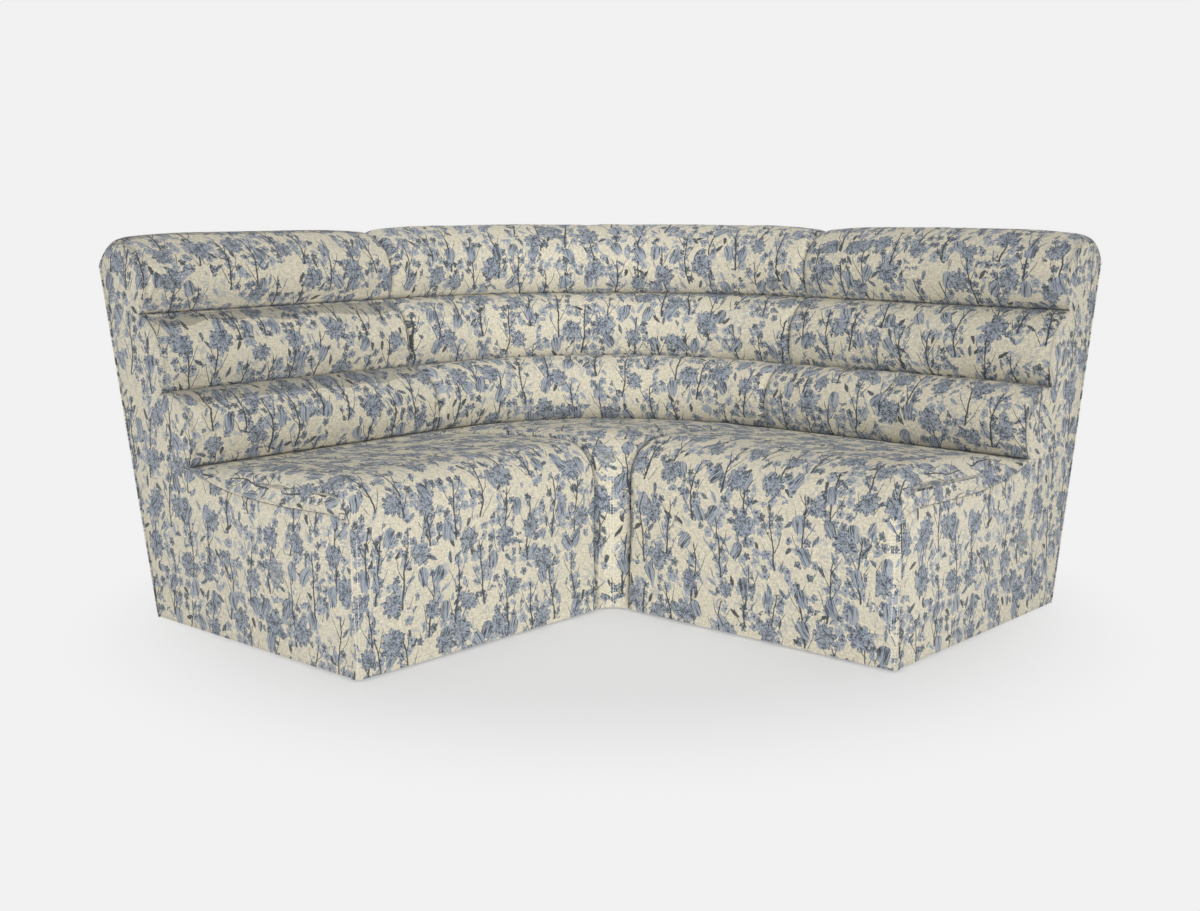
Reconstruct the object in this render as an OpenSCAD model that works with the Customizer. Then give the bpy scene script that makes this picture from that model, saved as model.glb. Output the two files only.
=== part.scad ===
// Modular corner sofa: two straight modules that plug into a quarter-round corner module.
// A side outline is given as (d, z): d is the depth behind the seat's front plane, z is the height.
// A straight module runs along u, from its joint with the corner at u = 0 to its free end.
// The corner module is the same outline swept a quarter turn about a vertical axis before its tip.

/* [Overall] */
// Length of each straight module
wing_length = 810; // [600:10:1200]
// Depth of a module's base behind the seat's rear edge, at the floor
base_depth = 182; // [137:1:237]
// Drop of the outside back's upper edge below the top roll's shoulder
back_edge_z = 62; // [50:1:67]
// Angle by which the outside back leans outward
back_lean = 12.35; // [9:0.05:14]
// Radius of the corner module's front tip
tip_radius = 49; // [49:1:90]
// Gap between neighbouring modules
module_gap = 0.6; // [0.4:0.1:0.9]

/* [Seat] */
// Height of the seat's front roll
seat_crest_z = 455; // [440:1:475]
// Radius of the seat's front roll
seat_roll_radius = 105; // [95:1:110]
// Depth from the seat's front to the back
seat_depth = 623; // [600:1:640]
// Fall of the seat from its front roll to the back
seat_rear_z = 38; // [30:1:45]
// Rise of the seat's crown above a straight line
seat_crown = 6; // [0:1:12]
// Drop of the seat's edge at a module joint
seat_joint_drop = 22; // [10:1:30]
// Drop of the seat's shoulder at a free end
seat_end_drop = 72; // [40:1:76]
// Length over which the free end's shoulder drops
seat_end_length = 70; // [64:1:90]
// Rounding of the seat's front edge at a module joint
front_joint_round = 22; // [10:1:28]
// Rounding of the seat's front edge at a free end
front_end_round = 8; // [2:1:16]

/* [Back] */
// Distance of the crease between the lower and the middle roll before the frame
low_crease_d = 43.2; // [34.7:0.1:54.7]
// Height of the crease between the lower and the middle roll above the seat's rear edge
low_crease_z = 171.6; // [163:0.2:183]
// Distance of the crease between the middle and the top roll before the frame
high_crease_d = 22.2; // [16.2:0.1:31.2]
// Height of the crease between the middle and the top roll above the lower crease
high_crease_z = 195.4; // [189.4:0.2:197.4]
// Distance of the top roll's front shoulder before the frame
shoulder_d = 47.7; // [35.7:0.1:55.7]
// Height of the top roll's front shoulder above the upper crease
shoulder_z = 171; // [161:1:176]
// Bulge of the lower roll
low_roll_bulge = 85; // [70:1:90]
// Bulge of the middle roll
middle_roll_bulge = 65; // [50:1:75]
// Bulge of the top roll's front
top_front_bulge = 52; // [40:1:56]
// Bulge of the top roll's top
top_bulge = 48; // [40:1:52]
// Amount by which the rolls draw in at a module joint
roll_joint_round = 28; // [10:1:32]
// Amount by which the rolls draw in at a free end
roll_end_round = 14; // [6:1:20]
// Length over which the rolls draw in
roll_round_length = 30; // [24:1:40]

/* [Upholstery] */
// Thickness of the fabric with its fibre wrap
cover_t = 10; // [8:0.5:11]
// Thickness of a padded side cover
side_cover_t = 16; // [12:1:20]
// Thickness of the dust cover
dust_cover_t = 2; // [1:0.5:3]
// Thickness of the seat webbing
strap_t = 3; // [2:0.5:4]
// Width of a seat webbing strap
strap_w = 50; // [40:1:60]
// Number of front to back straps on a straight module
strap_count = 5; // [3:1:6]
// Number of side to side straps on each module
cross_strap_count = 3; // [2:1:4]

/* [Frame] */
// Thickness of the plywood panels and boards
ply_t = 18; // [15:1:21]
// Depth of the seat frame's deck below the seat's front roll
deck_z = 145; // [135:5:165]
// Distance of the back frame's front edge behind the seat's rear edge, at the deck
upright_low_d = 77; // [67:1:87]
// Distance of the back frame's front edge behind the seat's rear edge, at its top
upright_top_d = 241; // [237:1:249]
// Drop of the side panels below the outside back's upper edge
upright_top_z = 13; // [8:1:17]
// Width of a cross rail
rail_w = 60; // [40:1:60]
// Thickness of a cross rail
rail_t = 20; // [16:1:24]
// Height of a back rail's top above its crease
rail_rise = 15; // [10:1:30]
// Distance by which the centre rib stays below the deck
rib_drop = 45; // [35:1:60]

/* [Glides] */
// Height of a glide
glide_h = 5; // [4:0.5:12]
// Radius of a glide
glide_r = 12; // [8:1:18]
// Distance of the glides from the module's edges
glide_inset = 70; // [55:1:100]

/* [Connectors] */
// Length of a connector tongue beyond its module
tongue_length = 60; // [50:1:80]
// Width of a connector tongue
tongue_w = 30; // [20:1:40]
// Thickness of a connector tongue
tongue_t = 5; // [4:0.5:8]
// Clearance round a tongue in its socket
tongue_clearance = 0.8; // [0.5:0.1:1.5]
// Wall of a connector socket
socket_wall = 3; // [2:0.5:4]
// Thickness of a connector's mounting flange
flange_t = 4; // [3:0.5:6]
// Width of a connector's mounting flange
flange_w = 84; // [78:1:100]
// Height of a connector's mounting flange
flange_h = 34; // [26:1:50]
// Height of the connectors above the floor
connector_z = 100; // [90:1:140]
// Depth of the front connector
connector_front_d = 180; // [160:5:260]
// Depth of the rear connector
connector_rear_d = 620; // [500:5:640]
// Radius of a connector screw
screw_r = 2.5; // [2:0.25:3]
// Radius of a screw's head
screw_head_r = 5; // [4:0.25:6]
// Height of a screw's head
screw_head_h = 3; // [2:0.25:4]
// Clearance round a screw in its hole
screw_clearance = 0.1; // [0.05:0.05:0.3]
// Depth of a screw's thread in the plywood
screw_grip = 12; // [8:1:14]

/* [Hidden] */

// Colours
fabric = "#c9c6b4";
lining = "#8f96a0";
foam = "#efe6c8";
plywood = "#c79a63";
webbing = "#3b3b3b";
steel = "#9aa0a6";
nylon = "#2a2a2a";

// Smoothness of true arcs, and the segment counts of the formed covers
$fn = 96;
roll_segments = 6;
shoulder_segments = 4;
top_segments = 5;
seat_roll_segments = 6;
seat_top_segments = 5;
corner_segments = 12;

// Overrun of a cut past the face that it starts from
overrun = 1;

// Places derived from the sizes above
base_z = glide_h;
frame_z = glide_h + dust_cover_t;
seat_rear = seat_crest_z - seat_rear_z;
low_crease = seat_rear + low_crease_z;
high_crease = low_crease + high_crease_z;
shoulder_top = high_crease + shoulder_z;
back_edge = shoulder_top - back_edge_z;
upright_top = back_edge - upright_top_z;
deck = seat_crest_z - deck_z;
panel_deck_z = deck + strap_t;
foam_z = panel_deck_z + strap_t;
rib_z = deck - rib_drop;
board_d = cover_t + ply_t;
end_drop_mid_share = 0.64;
reach = tip_radius + outside_d(back_edge);
// Centre of the corner's sweep, which puts the origin at the middle of the whole part's footprint
axis_x = (reach - wing_length - module_gap) / 2;

// Depth of the outside back at a height
function outside_d(z) = seat_depth + base_depth + z * tan(back_lean);

// Depth of the back frame's front edge at a height
function upright_d(z) = seat_depth + upright_low_d
    + (upright_top_d - upright_low_d) * (z - panel_deck_z) / (upright_top - panel_deck_z);

// Drop of a rounded end at a distance from the end face
function drop(distance, length, amount) = distance >= length ? 0
    : amount * (1 - sqrt(1 - pow(1 - distance / length, 2)));

// Points of an arc from p to q that bulges to the left of the way from p to q
function bulge_arc(p, q, bulge, segments) =
    let (chord = norm(q - p), along = (q - p) / chord, side = [-along.y, along.x],
        radius = (chord * chord / 4 + bulge * bulge) / (2 * bulge),
        centre = (p + q) / 2 + side * (bulge - radius),
        half = asin(chord / 2 / radius))
    [for (i = [0:segments])
        let (angle = half * (2 * i / segments - 1))
        centre + radius * (side * cos(angle) + along * sin(angle))];

// Joins two point lists that share an end point
function join(first, second) = concat(first, [for (i = [1:len(second) - 1]) second[i]]);

// Creases of the back, moved in behind the surface by a depth
function crease_0(depth) = [seat_depth + depth, seat_rear];
function crease_1(depth) = [upright_d(low_crease) - low_crease_d + depth, low_crease];
function crease_2(depth) = [upright_d(high_crease) - high_crease_d + depth, high_crease];

// Outlines of the three rolls, drawn in at an end and moved in behind the surface by a depth
function lower_roll(inset, depth) =
    bulge_arc(crease_0(depth), crease_1(depth), low_roll_bulge - inset, roll_segments);
function middle_roll(inset, depth) =
    bulge_arc(crease_1(depth), crease_2(depth), middle_roll_bulge - inset, roll_segments);
function top_roll(inset, depth) =
    let (fall = (inset + depth) * sin(45),
        shoulder = [upright_d(shoulder_top) - shoulder_d + fall, shoulder_top - fall],
        edge = [outside_d(back_edge) - depth, back_edge])
    join(bulge_arc(crease_2(depth), shoulder, top_front_bulge - inset, shoulder_segments),
        bulge_arc(shoulder, edge, top_bulge - inset / 2, top_segments));
function back_line(inset, depth) =
    join(join(lower_roll(inset, depth), middle_roll(inset, depth)), top_roll(inset, depth));

// Outline of the seat: its rolled front, then its top as far as the back
function seat_front(front_inset, top_inset, depth) =
    [for (i = [0:seat_roll_segments])
        let (angle = 90 * i / seat_roll_segments)
        [seat_roll_radius - (seat_roll_radius - front_inset - depth) * cos(angle),
            seat_crest_z - seat_roll_radius + (seat_roll_radius - top_inset - depth) * sin(angle)]];
function seat_top(top_inset, depth) =
    [for (i = [0:seat_top_segments])
        let (share = i / seat_top_segments)
        [seat_roll_radius + (seat_depth - seat_roll_radius) * share,
            seat_crest_z + (seat_rear - seat_crest_z) * share + seat_crown * sin(180 * share)
            - top_inset * (1 - pow(share, 3)) - depth]];
function seat_line(front_inset, top_inset, depth) =
    join(seat_front(front_inset, top_inset, depth), seat_top(top_inset, depth));

// Closed outlines of the pads and bands; a band is an outer line followed by its inner line reversed
function reversed(points) = [for (i = [len(points) - 1:-1:0]) points[i]];
function back_band(inset) = concat(back_line(inset, 0), reversed(back_line(inset, cover_t)));
function seat_band(front_inset, top_inset) =
    concat([[front_inset, base_z]], seat_line(front_inset, top_inset, 0),
        [on_upright(seat_rear), on_upright(seat_rear - cover_t)],
        reversed(seat_line(front_inset, top_inset, cover_t)), [[front_inset + cover_t, base_z]]);
function on_upright(z) = [upright_d(z), z];
function lower_foam(inset) =
    concat(lower_roll(inset, cover_t), [on_upright(low_crease), on_upright(seat_rear)]);
function middle_foam(inset) =
    concat(middle_roll(inset, cover_t), [on_upright(high_crease), on_upright(low_crease)]);
function top_foam(inset) =
    concat(top_roll(inset, cover_t), [[outside_d(upright_top) - cover_t, upright_top],
        on_upright(upright_top), on_upright(high_crease)]);
function seat_pad(front_inset, top_inset) =
    concat([[front_inset + cover_t, foam_z]], seat_line(front_inset, top_inset, cover_t),
        [on_upright(seat_rear - cover_t), on_upright(foam_z)]);

// Whole side outline inside the covers
function side_outline(roll_inset, front_inset, top_inset) =
    concat([[front_inset + cover_t, base_z]], seat_line(front_inset, top_inset, cover_t),
        [on_upright(seat_rear - cover_t), on_upright(seat_rear)],
        back_line(roll_inset, cover_t), [[outside_d(base_z) - cover_t, base_z]]);

// Outlines of the frame's pieces
side_panel_outline = [[board_d, frame_z], [outside_d(frame_z) - cover_t, frame_z],
    [outside_d(upright_top) - cover_t, upright_top], on_upright(upright_top),
    on_upright(panel_deck_z), [board_d, panel_deck_z]];
rib_outline = [[board_d, frame_z], [outside_d(frame_z) - cover_t, frame_z],
    [outside_d(upright_top) - cover_t, upright_top], on_upright(upright_top),
    on_upright(panel_deck_z), on_upright(rib_z), [board_d, rib_z]];
front_board_outline = [[cover_t, frame_z], [board_d, frame_z], [board_d, deck], [cover_t, deck]];
seat_rail_d = upright_d(deck) - rail_w;
seat_rail_outline = [[seat_rail_d, deck - rail_w], [seat_rail_d + rail_t, deck - rail_w],
    [seat_rail_d + rail_t, deck], [seat_rail_d, deck]];
base_rail_outline = [for (corner = [[0, 0], [0, 1], [1, 1], [1, 0]])
    let (z = frame_z + corner.y * rail_w)
    [outside_d(z) - cover_t - corner.x * rail_t, z]];
outside_back_outline = [[outside_d(base_z) - cover_t, base_z], [outside_d(base_z), base_z],
    [outside_d(back_edge), back_edge], [outside_d(back_edge) - cover_t, back_edge]];
dust_outline = [[cover_t, base_z], [outside_d(base_z) - cover_t, base_z],
    [outside_d(base_z) - cover_t, frame_z], [cover_t, frame_z]];
back_rail_tops = [low_crease + rail_rise, high_crease + rail_rise, upright_top];
function back_rail_outline(top) = [on_upright(top - rail_w), on_upright(top),
    on_upright(top) + [rail_t, 0], on_upright(top - rail_w) + [rail_t, 0]];

// Stations of a formed cover: distance along u, or angle on the corner, with its insets
joint_stations = [0, side_cover_t, roll_round_length];
function wing_station(u) = let (end = wing_length - u)
    [u, drop(u, roll_round_length, roll_joint_round) + drop(end, roll_round_length, roll_end_round),
        drop(u, side_cover_t, front_joint_round) + drop(end, side_cover_t, front_end_round),
        drop(u, roll_round_length, seat_joint_drop) + drop(end, seat_end_length, seat_end_drop)];
wing_back_stations = [for (u = concat(joint_stations,
    [wing_length - roll_round_length, wing_length - side_cover_t, wing_length])) wing_station(u)];
wing_seat_stations = [for (u = concat(joint_stations, [wing_length - seat_end_length,
    wing_length - seat_end_length * end_drop_mid_share, wing_length - roll_round_length,
    wing_length - side_cover_t, wing_length])) wing_station(u)];
round_angle = 360 * roll_round_length / (2 * PI * reach);
corner_stations = [for (angle = concat([0, round_angle / 2],
    [for (i = [0:corner_segments]) round_angle + (90 - 2 * round_angle) * i / corner_segments],
    [90 - round_angle / 2, 90]))
    let (end = min(angle, 90 - angle))
    [angle, drop(end, round_angle, roll_joint_round), drop(end, round_angle, front_joint_round),
        drop(end, round_angle, seat_joint_drop)]];

// Solid through a row of closed rings with equal counts of points. On a band's inner line, which runs
// backwards, the walls are split the other way, so that they meet a pad's walls exactly.
module loft(rings, band = false) {
    n = len(rings[0]);
    last = (len(rings) - 1) * n;
    walls = [for (j = [0:len(rings) - 2], i = [0:n - 1])
        let (a = j * n + i, b = j * n + (i + 1) % n)
        each band && i >= n / 2 ? [[a, b, a + n], [b, b + n, a + n]] : [[a, b, b + n], [a, b + n, a + n]]];
    cap = band ? [for (i = [0:n / 2 - 2]) each [[i, i + 1, n - 2 - i], [i, n - 2 - i, n - 1 - i]]]
        : [[for (i = [0:n - 1]) i]];
    near = [for (face = cap) reversed(face)];
    far = [for (face = cap) [for (i = face) i + last]];
    polyhedron(points = [for (ring = rings) each ring], faces = concat(walls, near, far), convexity = 6);
}

// Places outline points on a straight module or on the corner's sweep
function wing_ring(u, outline) = [for (p = outline) [u, p.x, p.y]];
function corner_ring(angle, outline) = [for (p = outline)
    [-(tip_radius + p.x) * cos(angle), (tip_radius + p.x) * sin(angle), p.y]];
function inside(stations, margin) =
    [for (s = stations) if (s[0] >= margin && s[0] <= wing_length - margin) s];

// Sweeps an outline straight from one station along u to another
module across(from, to) {
    translate([from, 0, 0]) rotate([90, 0, 90]) linear_extrude(to - from) children();
}

// Sweeps an outline round the corner, leaving a margin at both joint faces
module around(margin = 0) {
    difference() {
        rotate([0, 0, 90]) rotate_extrude(angle = 90) translate([tip_radius, 0]) children();
        if (margin > 0) joint_slabs(margin);
    }
}

// Slabs at the corner's two joint faces, for cuts
module joint_slabs(margin) {
    size = 2 * reach;
    translate([-margin, -overrun, -overrun]) cube([margin + overrun, size, size]);
    translate([-size, -overrun, -overrun]) cube([size + overrun, margin + overrun, size]);
}

// Places each module's pieces; the left module is the right one's mirror image
module in_corner() { translate([axis_x, -axis_x, 0]) children(); }
module in_right() { in_corner() translate([module_gap, tip_radius, 0]) children(); }
module in_left() { in_corner() mirror([1, 1, 0]) translate([module_gap, tip_radius, 0]) children(); }
module both_sides() {
    children();
    mirror([1, 1, 0]) children();
}

// Places children at both connectors, with u along x
module at_connectors() {
    for (d = [connector_front_d, connector_rear_d]) translate([0, d, connector_z]) children();
}

// Opening for a tongue through the panels at a module joint
module tongue_slot(from, to, clearance) {
    translate([from, -tongue_w / 2 - clearance, -tongue_t / 2 - clearance])
        cube([to - from, tongue_w + 2 * clearance, tongue_t + 2 * clearance]);
}

// Places children at the screws of one flange
module at_screws() {
    for (side = [-1, 1]) translate([0, side * (flange_w / 2 - 2 * screw_head_r), 0]) children();
}
module screw_holes(from, to) {
    at_screws() translate([from, 0, 0]) rotate([0, 90, 0])
        cylinder(h = to - from, r = screw_r + screw_clearance);
}

// Flanged plate of a connector, lying against the inner face of a side panel at u = 0
module flange() {
    difference() {
        translate([0, -flange_w / 2, -flange_h / 2]) cube([flange_t, flange_w, flange_h]);
        screw_holes(-overrun, flange_t + overrun);
    }
}
module screw() {
    translate([-screw_grip, 0, 0]) rotate([0, 90, 0]) cylinder(h = screw_grip + flange_t, r = screw_r);
    translate([flange_t, 0, 0]) rotate([0, 90, 0]) cylinder(h = screw_head_h, r = screw_head_r);
}
panel_in = side_cover_t + ply_t;

// Straight modules

module wing_side_panel(inner) {
    from = inner ? side_cover_t : wing_length - panel_in;
    color(plywood) difference() {
        across(from, from + ply_t) polygon(side_panel_outline);
        if (inner) at_connectors() {
            tongue_slot(from - overrun, from + ply_t + overrun, 0);
            screw_holes(panel_in - screw_grip, panel_in + overrun);
        }
    }
}

module wing_centre_rib() {
    middle = wing_length / 2;
    color(plywood) across(middle - ply_t / 2, middle + ply_t / 2) notched_rib();
}

module notched_rib() {
    difference() {
        polygon(rib_outline);
        polygon(seat_rail_outline);
        polygon(base_rail_outline);
        for (top = back_rail_tops) polygon(back_rail_outline(top));
    }
}

module wing_rail(outline) {
    color(plywood) across(panel_in, wing_length - panel_in) polygon(outline);
}

module wing_back_rails() {
    color(plywood) for (top = back_rail_tops)
        across(panel_in, wing_length - panel_in) polygon(back_rail_outline(top));
}

module wing_front_board() {
    color(plywood) across(side_cover_t, wing_length - side_cover_t) polygon(front_board_outline);
}

module wing_seat_webbing() {
    span = wing_length - 2 * panel_in;
    cross_span = seat_rail_d - board_d;
    color(webbing) {
        for (i = [0:strap_count - 1])
            translate([panel_in + span * (i + 0.5) / strap_count - strap_w / 2, cover_t, deck])
                cube([strap_w, seat_rail_d + rail_t - cover_t, strap_t]);
        for (i = [0:cross_strap_count - 1])
            translate([side_cover_t, board_d + cross_span * (i + 0.5) / cross_strap_count - strap_w / 2,
                panel_deck_z])
                cube([wing_length - 2 * side_cover_t, strap_w, strap_t]);
    }
}

module wing_seat_foam() {
    color(foam) loft([for (s = inside(wing_seat_stations, side_cover_t))
        wing_ring(s[0], seat_pad(s[2], s[3]))]);
}

module wing_seat_cover() {
    color(fabric) loft([for (s = wing_seat_stations) wing_ring(s[0], seat_band(s[2], s[3]))], true);
}

module wing_top_roll_foam() {
    color(foam) loft([for (s = inside(wing_back_stations, side_cover_t)) wing_ring(s[0], top_foam(s[1]))]);
}

module wing_middle_roll_foam() {
    color(foam) loft([for (s = inside(wing_back_stations, side_cover_t))
        wing_ring(s[0], middle_foam(s[1]))]);
}

module wing_lower_roll_foam() {
    color(foam) loft([for (s = inside(wing_back_stations, side_cover_t))
        wing_ring(s[0], lower_foam(s[1]))]);
}

module wing_back_cover() {
    color(fabric) loft([for (s = wing_back_stations) wing_ring(s[0], back_band(s[1]))], true);
}

module wing_outside_back_cover() {
    color(fabric) across(0, wing_length) polygon(outside_back_outline);
}

module wing_side_covers() {
    joint = wing_station(0);
    free = wing_station(wing_length);
    color(fabric) {
        difference() {
            across(0, side_cover_t) polygon(side_outline(joint[1], joint[2], joint[3]));
            at_connectors() tongue_slot(-overrun, side_cover_t + overrun, 0);
        }
        across(wing_length - side_cover_t, wing_length) polygon(side_outline(free[1], free[2], free[3]));
    }
}

module wing_dust_cover() {
    color(lining) across(side_cover_t, wing_length - side_cover_t) polygon(dust_outline);
}

module wing_glides() {
    color(nylon) for (u = [glide_inset, wing_length - glide_inset], d = [glide_inset, outside_d(0) - glide_inset])
        translate([u, d, 0]) cylinder(h = glide_h, r = glide_r);
}

module wing_connector_tongues() {
    color(steel) at_connectors() {
        tongue_slot(-tongue_length, panel_in, 0);
        translate([panel_in, 0, 0]) flange();
    }
}

module wing_connector_screws() {
    color(steel) at_connectors() translate([panel_in, 0, 0]) at_screws() screw();
}

// Corner module

module corner_side_panel() {
    color(plywood) difference() {
        intersection() {
            around(side_cover_t) polygon(side_panel_outline);
            translate([-panel_in, 0, 0]) cube([panel_in, reach, reach]);
        }
        translate([0, tip_radius, 0]) at_connectors() mirror([1, 0, 0]) {
            tongue_slot(side_cover_t - overrun, panel_in + overrun, tongue_clearance);
            screw_holes(panel_in - screw_grip, panel_in + overrun);
        }
    }
}

module corner_centre_rib() {
    color(plywood) intersection() {
        rotate([0, 0, 45]) translate([-ply_t / 2, 0, 0]) cube([ply_t, reach, reach]);
        around() notched_rib();
    }
}

module corner_rail(outline) {
    color(plywood) around(panel_in) polygon(outline);
}

module corner_back_rails() {
    color(plywood) for (top = back_rail_tops) around(panel_in) polygon(back_rail_outline(top));
}

module corner_front_post() {
    color(plywood) around(side_cover_t) polygon(front_board_outline);
}

module corner_seat_webbing() {
    post_r = tip_radius + cover_t;
    rail_r = tip_radius + seat_rail_d + rail_t;
    cross_span = seat_rail_d - board_d;
    color(webbing) {
        rotate([0, 0, 45]) translate([-strap_w / 2, post_r, deck])
            cube([strap_w, sqrt(rail_r * rail_r - strap_w * strap_w / 4) - post_r, strap_t]);
        intersection() {
            for (i = [0:cross_strap_count - 1])
                rotate([0, 0, 45]) translate([-reach,
                    (tip_radius + board_d + cross_span * (i + 0.5) / cross_strap_count) * sin(45)
                    - strap_w / 2, panel_deck_z])
                    cube([2 * reach, strap_w, strap_t]);
            translate([-reach - side_cover_t, side_cover_t, 0]) cube(reach);
        }
    }
}

module corner_loft(outlines, band = false) {
    loft([for (i = [0:len(corner_stations) - 1]) corner_ring(corner_stations[i][0], outlines[i])], band);
}

module corner_seat_foam() {
    color(foam) difference() {
        corner_loft([for (s = corner_stations) seat_pad(s[2], s[3])]);
        joint_slabs(side_cover_t);
    }
}

module corner_seat_cover() {
    color(fabric) corner_loft([for (s = corner_stations) seat_band(s[2], s[3])], true);
}

module corner_top_roll_foam() {
    color(foam) difference() {
        corner_loft([for (s = corner_stations) top_foam(s[1])]);
        joint_slabs(side_cover_t);
    }
}

module corner_middle_roll_foam() {
    color(foam) difference() {
        corner_loft([for (s = corner_stations) middle_foam(s[1])]);
        joint_slabs(side_cover_t);
    }
}

module corner_lower_roll_foam() {
    color(foam) difference() {
        corner_loft([for (s = corner_stations) lower_foam(s[1])]);
        joint_slabs(side_cover_t);
    }
}

module corner_back_cover() {
    color(fabric) corner_loft([for (s = corner_stations) back_band(s[1])], true);
}

module corner_outside_back_cover() {
    color(fabric) around() polygon(outside_back_outline);
}

module corner_side_covers() {
    joint = corner_stations[0];
    color(fabric) both_sides() difference() {
        intersection() {
            around() polygon(side_outline(joint[1], joint[2], joint[3]));
            translate([-side_cover_t, 0, 0]) cube([side_cover_t, reach, reach]);
        }
        translate([0, tip_radius, 0]) at_connectors() mirror([1, 0, 0])
            tongue_slot(-overrun, side_cover_t + overrun, tongue_clearance);
    }
}

module corner_dust_cover() {
    color(lining) around(side_cover_t) polygon(dust_outline);
}

module corner_glides() {
    rear_r = tip_radius + outside_d(0) - glide_inset;
    color(nylon) {
        for (angle = [10, 45, 80]) rotate([0, 0, angle]) translate([0, rear_r, 0])
            cylinder(h = glide_h, r = glide_r);
        rotate([0, 0, 45]) translate([0, tip_radius + glide_inset, 0]) cylinder(h = glide_h, r = glide_r);
    }
}

module corner_connector_sockets() {
    outer = tongue_clearance + socket_wall;
    color(steel) both_sides() translate([0, tip_radius, 0]) at_connectors() mirror([1, 0, 0])
        difference() {
            union() {
                translate([panel_in, 0, 0]) flange();
                tongue_slot(panel_in, tongue_length + outer, outer);
            }
            tongue_slot(panel_in - overrun, tongue_length + tongue_clearance, tongue_clearance);
        }
}

module corner_connector_screws() {
    color(steel) both_sides() translate([0, tip_radius, 0]) at_connectors() mirror([1, 0, 0])
        translate([panel_in, 0, 0]) at_screws() screw();
}

// Left straight module
in_left() wing_side_panel(false);  // left_outer_side_panel
in_left() wing_side_panel(true);  // left_inner_side_panel
in_left() wing_centre_rib();  // left_centre_rib
in_left() wing_front_board();  // left_front_board
in_left() wing_rail(seat_rail_outline);  // left_seat_rear_rail
in_left() wing_rail(base_rail_outline);  // left_base_rear_rail
in_left() wing_back_rails();  // left_back_rails
in_left() wing_seat_webbing();  // left_seat_webbing
in_left() wing_seat_foam();  // left_seat_foam
in_left() wing_seat_cover();  // left_seat_cover
in_left() wing_top_roll_foam();  // left_top_roll_foam
in_left() wing_middle_roll_foam();  // left_middle_roll_foam
in_left() wing_lower_roll_foam();  // left_lower_roll_foam
in_left() wing_back_cover();  // left_back_cover
in_left() wing_outside_back_cover();  // left_outside_back_cover
in_left() wing_side_covers();  // left_side_covers
in_left() wing_dust_cover();  // left_dust_cover
in_left() wing_glides();  // left_glides
in_left() wing_connector_tongues();  // left_connector_tongues
in_left() wing_connector_screws();  // left_connector_screws

// Right straight module
in_right() wing_side_panel(false);  // right_outer_side_panel
in_right() wing_side_panel(true);  // right_inner_side_panel
in_right() wing_centre_rib();  // right_centre_rib
in_right() wing_front_board();  // right_front_board
in_right() wing_rail(seat_rail_outline);  // right_seat_rear_rail
in_right() wing_rail(base_rail_outline);  // right_base_rear_rail
in_right() wing_back_rails();  // right_back_rails
in_right() wing_seat_webbing();  // right_seat_webbing
in_right() wing_seat_foam();  // right_seat_foam
in_right() wing_seat_cover();  // right_seat_cover
in_right() wing_top_roll_foam();  // right_top_roll_foam
in_right() wing_middle_roll_foam();  // right_middle_roll_foam
in_right() wing_lower_roll_foam();  // right_lower_roll_foam
in_right() wing_back_cover();  // right_back_cover
in_right() wing_outside_back_cover();  // right_outside_back_cover
in_right() wing_side_covers();  // right_side_covers
in_right() wing_dust_cover();  // right_dust_cover
in_right() wing_glides();  // right_glides
in_right() wing_connector_tongues();  // right_connector_tongues
in_right() wing_connector_screws();  // right_connector_screws

// Corner module
in_corner() mirror([1, 1, 0]) corner_side_panel();  // corner_left_side_panel
in_corner() corner_side_panel();  // corner_right_side_panel
in_corner() corner_centre_rib();
in_corner() corner_front_post();
in_corner() corner_rail(seat_rail_outline);  // corner_seat_rear_rail
in_corner() corner_rail(base_rail_outline);  // corner_base_rear_rail
in_corner() corner_back_rails();
in_corner() corner_seat_webbing();
in_corner() corner_seat_foam();
in_corner() corner_seat_cover();
in_corner() corner_top_roll_foam();
in_corner() corner_middle_roll_foam();
in_corner() corner_lower_roll_foam();
in_corner() corner_back_cover();
in_corner() corner_outside_back_cover();
in_corner() corner_side_covers();
in_corner() corner_dust_cover();
in_corner() corner_glides();
in_corner() corner_connector_sockets();
in_corner() corner_connector_screws();
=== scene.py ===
"""Modular corner sofa: covers, pads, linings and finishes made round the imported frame."""

import math

import bpy
import numpy as np
from bpy.props import FloatProperty, FloatVectorProperty, IntProperty, PointerProperty
from mathutils import Matrix, Vector, noise


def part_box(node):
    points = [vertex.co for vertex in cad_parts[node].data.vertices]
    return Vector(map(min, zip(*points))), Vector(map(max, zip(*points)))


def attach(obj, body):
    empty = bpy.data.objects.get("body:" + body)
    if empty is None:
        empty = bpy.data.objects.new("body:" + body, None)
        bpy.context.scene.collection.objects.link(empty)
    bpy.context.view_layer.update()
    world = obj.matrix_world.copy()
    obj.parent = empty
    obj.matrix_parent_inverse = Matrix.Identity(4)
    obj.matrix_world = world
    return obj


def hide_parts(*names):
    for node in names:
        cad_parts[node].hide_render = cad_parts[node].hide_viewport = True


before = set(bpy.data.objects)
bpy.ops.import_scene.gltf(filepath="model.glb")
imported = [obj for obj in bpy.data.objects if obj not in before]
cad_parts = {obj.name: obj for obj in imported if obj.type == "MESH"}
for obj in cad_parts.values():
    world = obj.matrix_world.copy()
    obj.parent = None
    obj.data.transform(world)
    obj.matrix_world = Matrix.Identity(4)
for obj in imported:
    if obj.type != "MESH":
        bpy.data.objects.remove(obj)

bl_info = {
    "name": "Modular Corner Sofa",
    "version": (1, 0, 0),
    "blender": (4, 5, 0),
    "location": "3D View > Sidebar > Sofa",
    "description": "Makes the covers, pads, linings, stitching and finishes of a three-module corner sofa",
    "category": "Add Mesh",
}

MODULES = ("left", "right", "corner")

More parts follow.
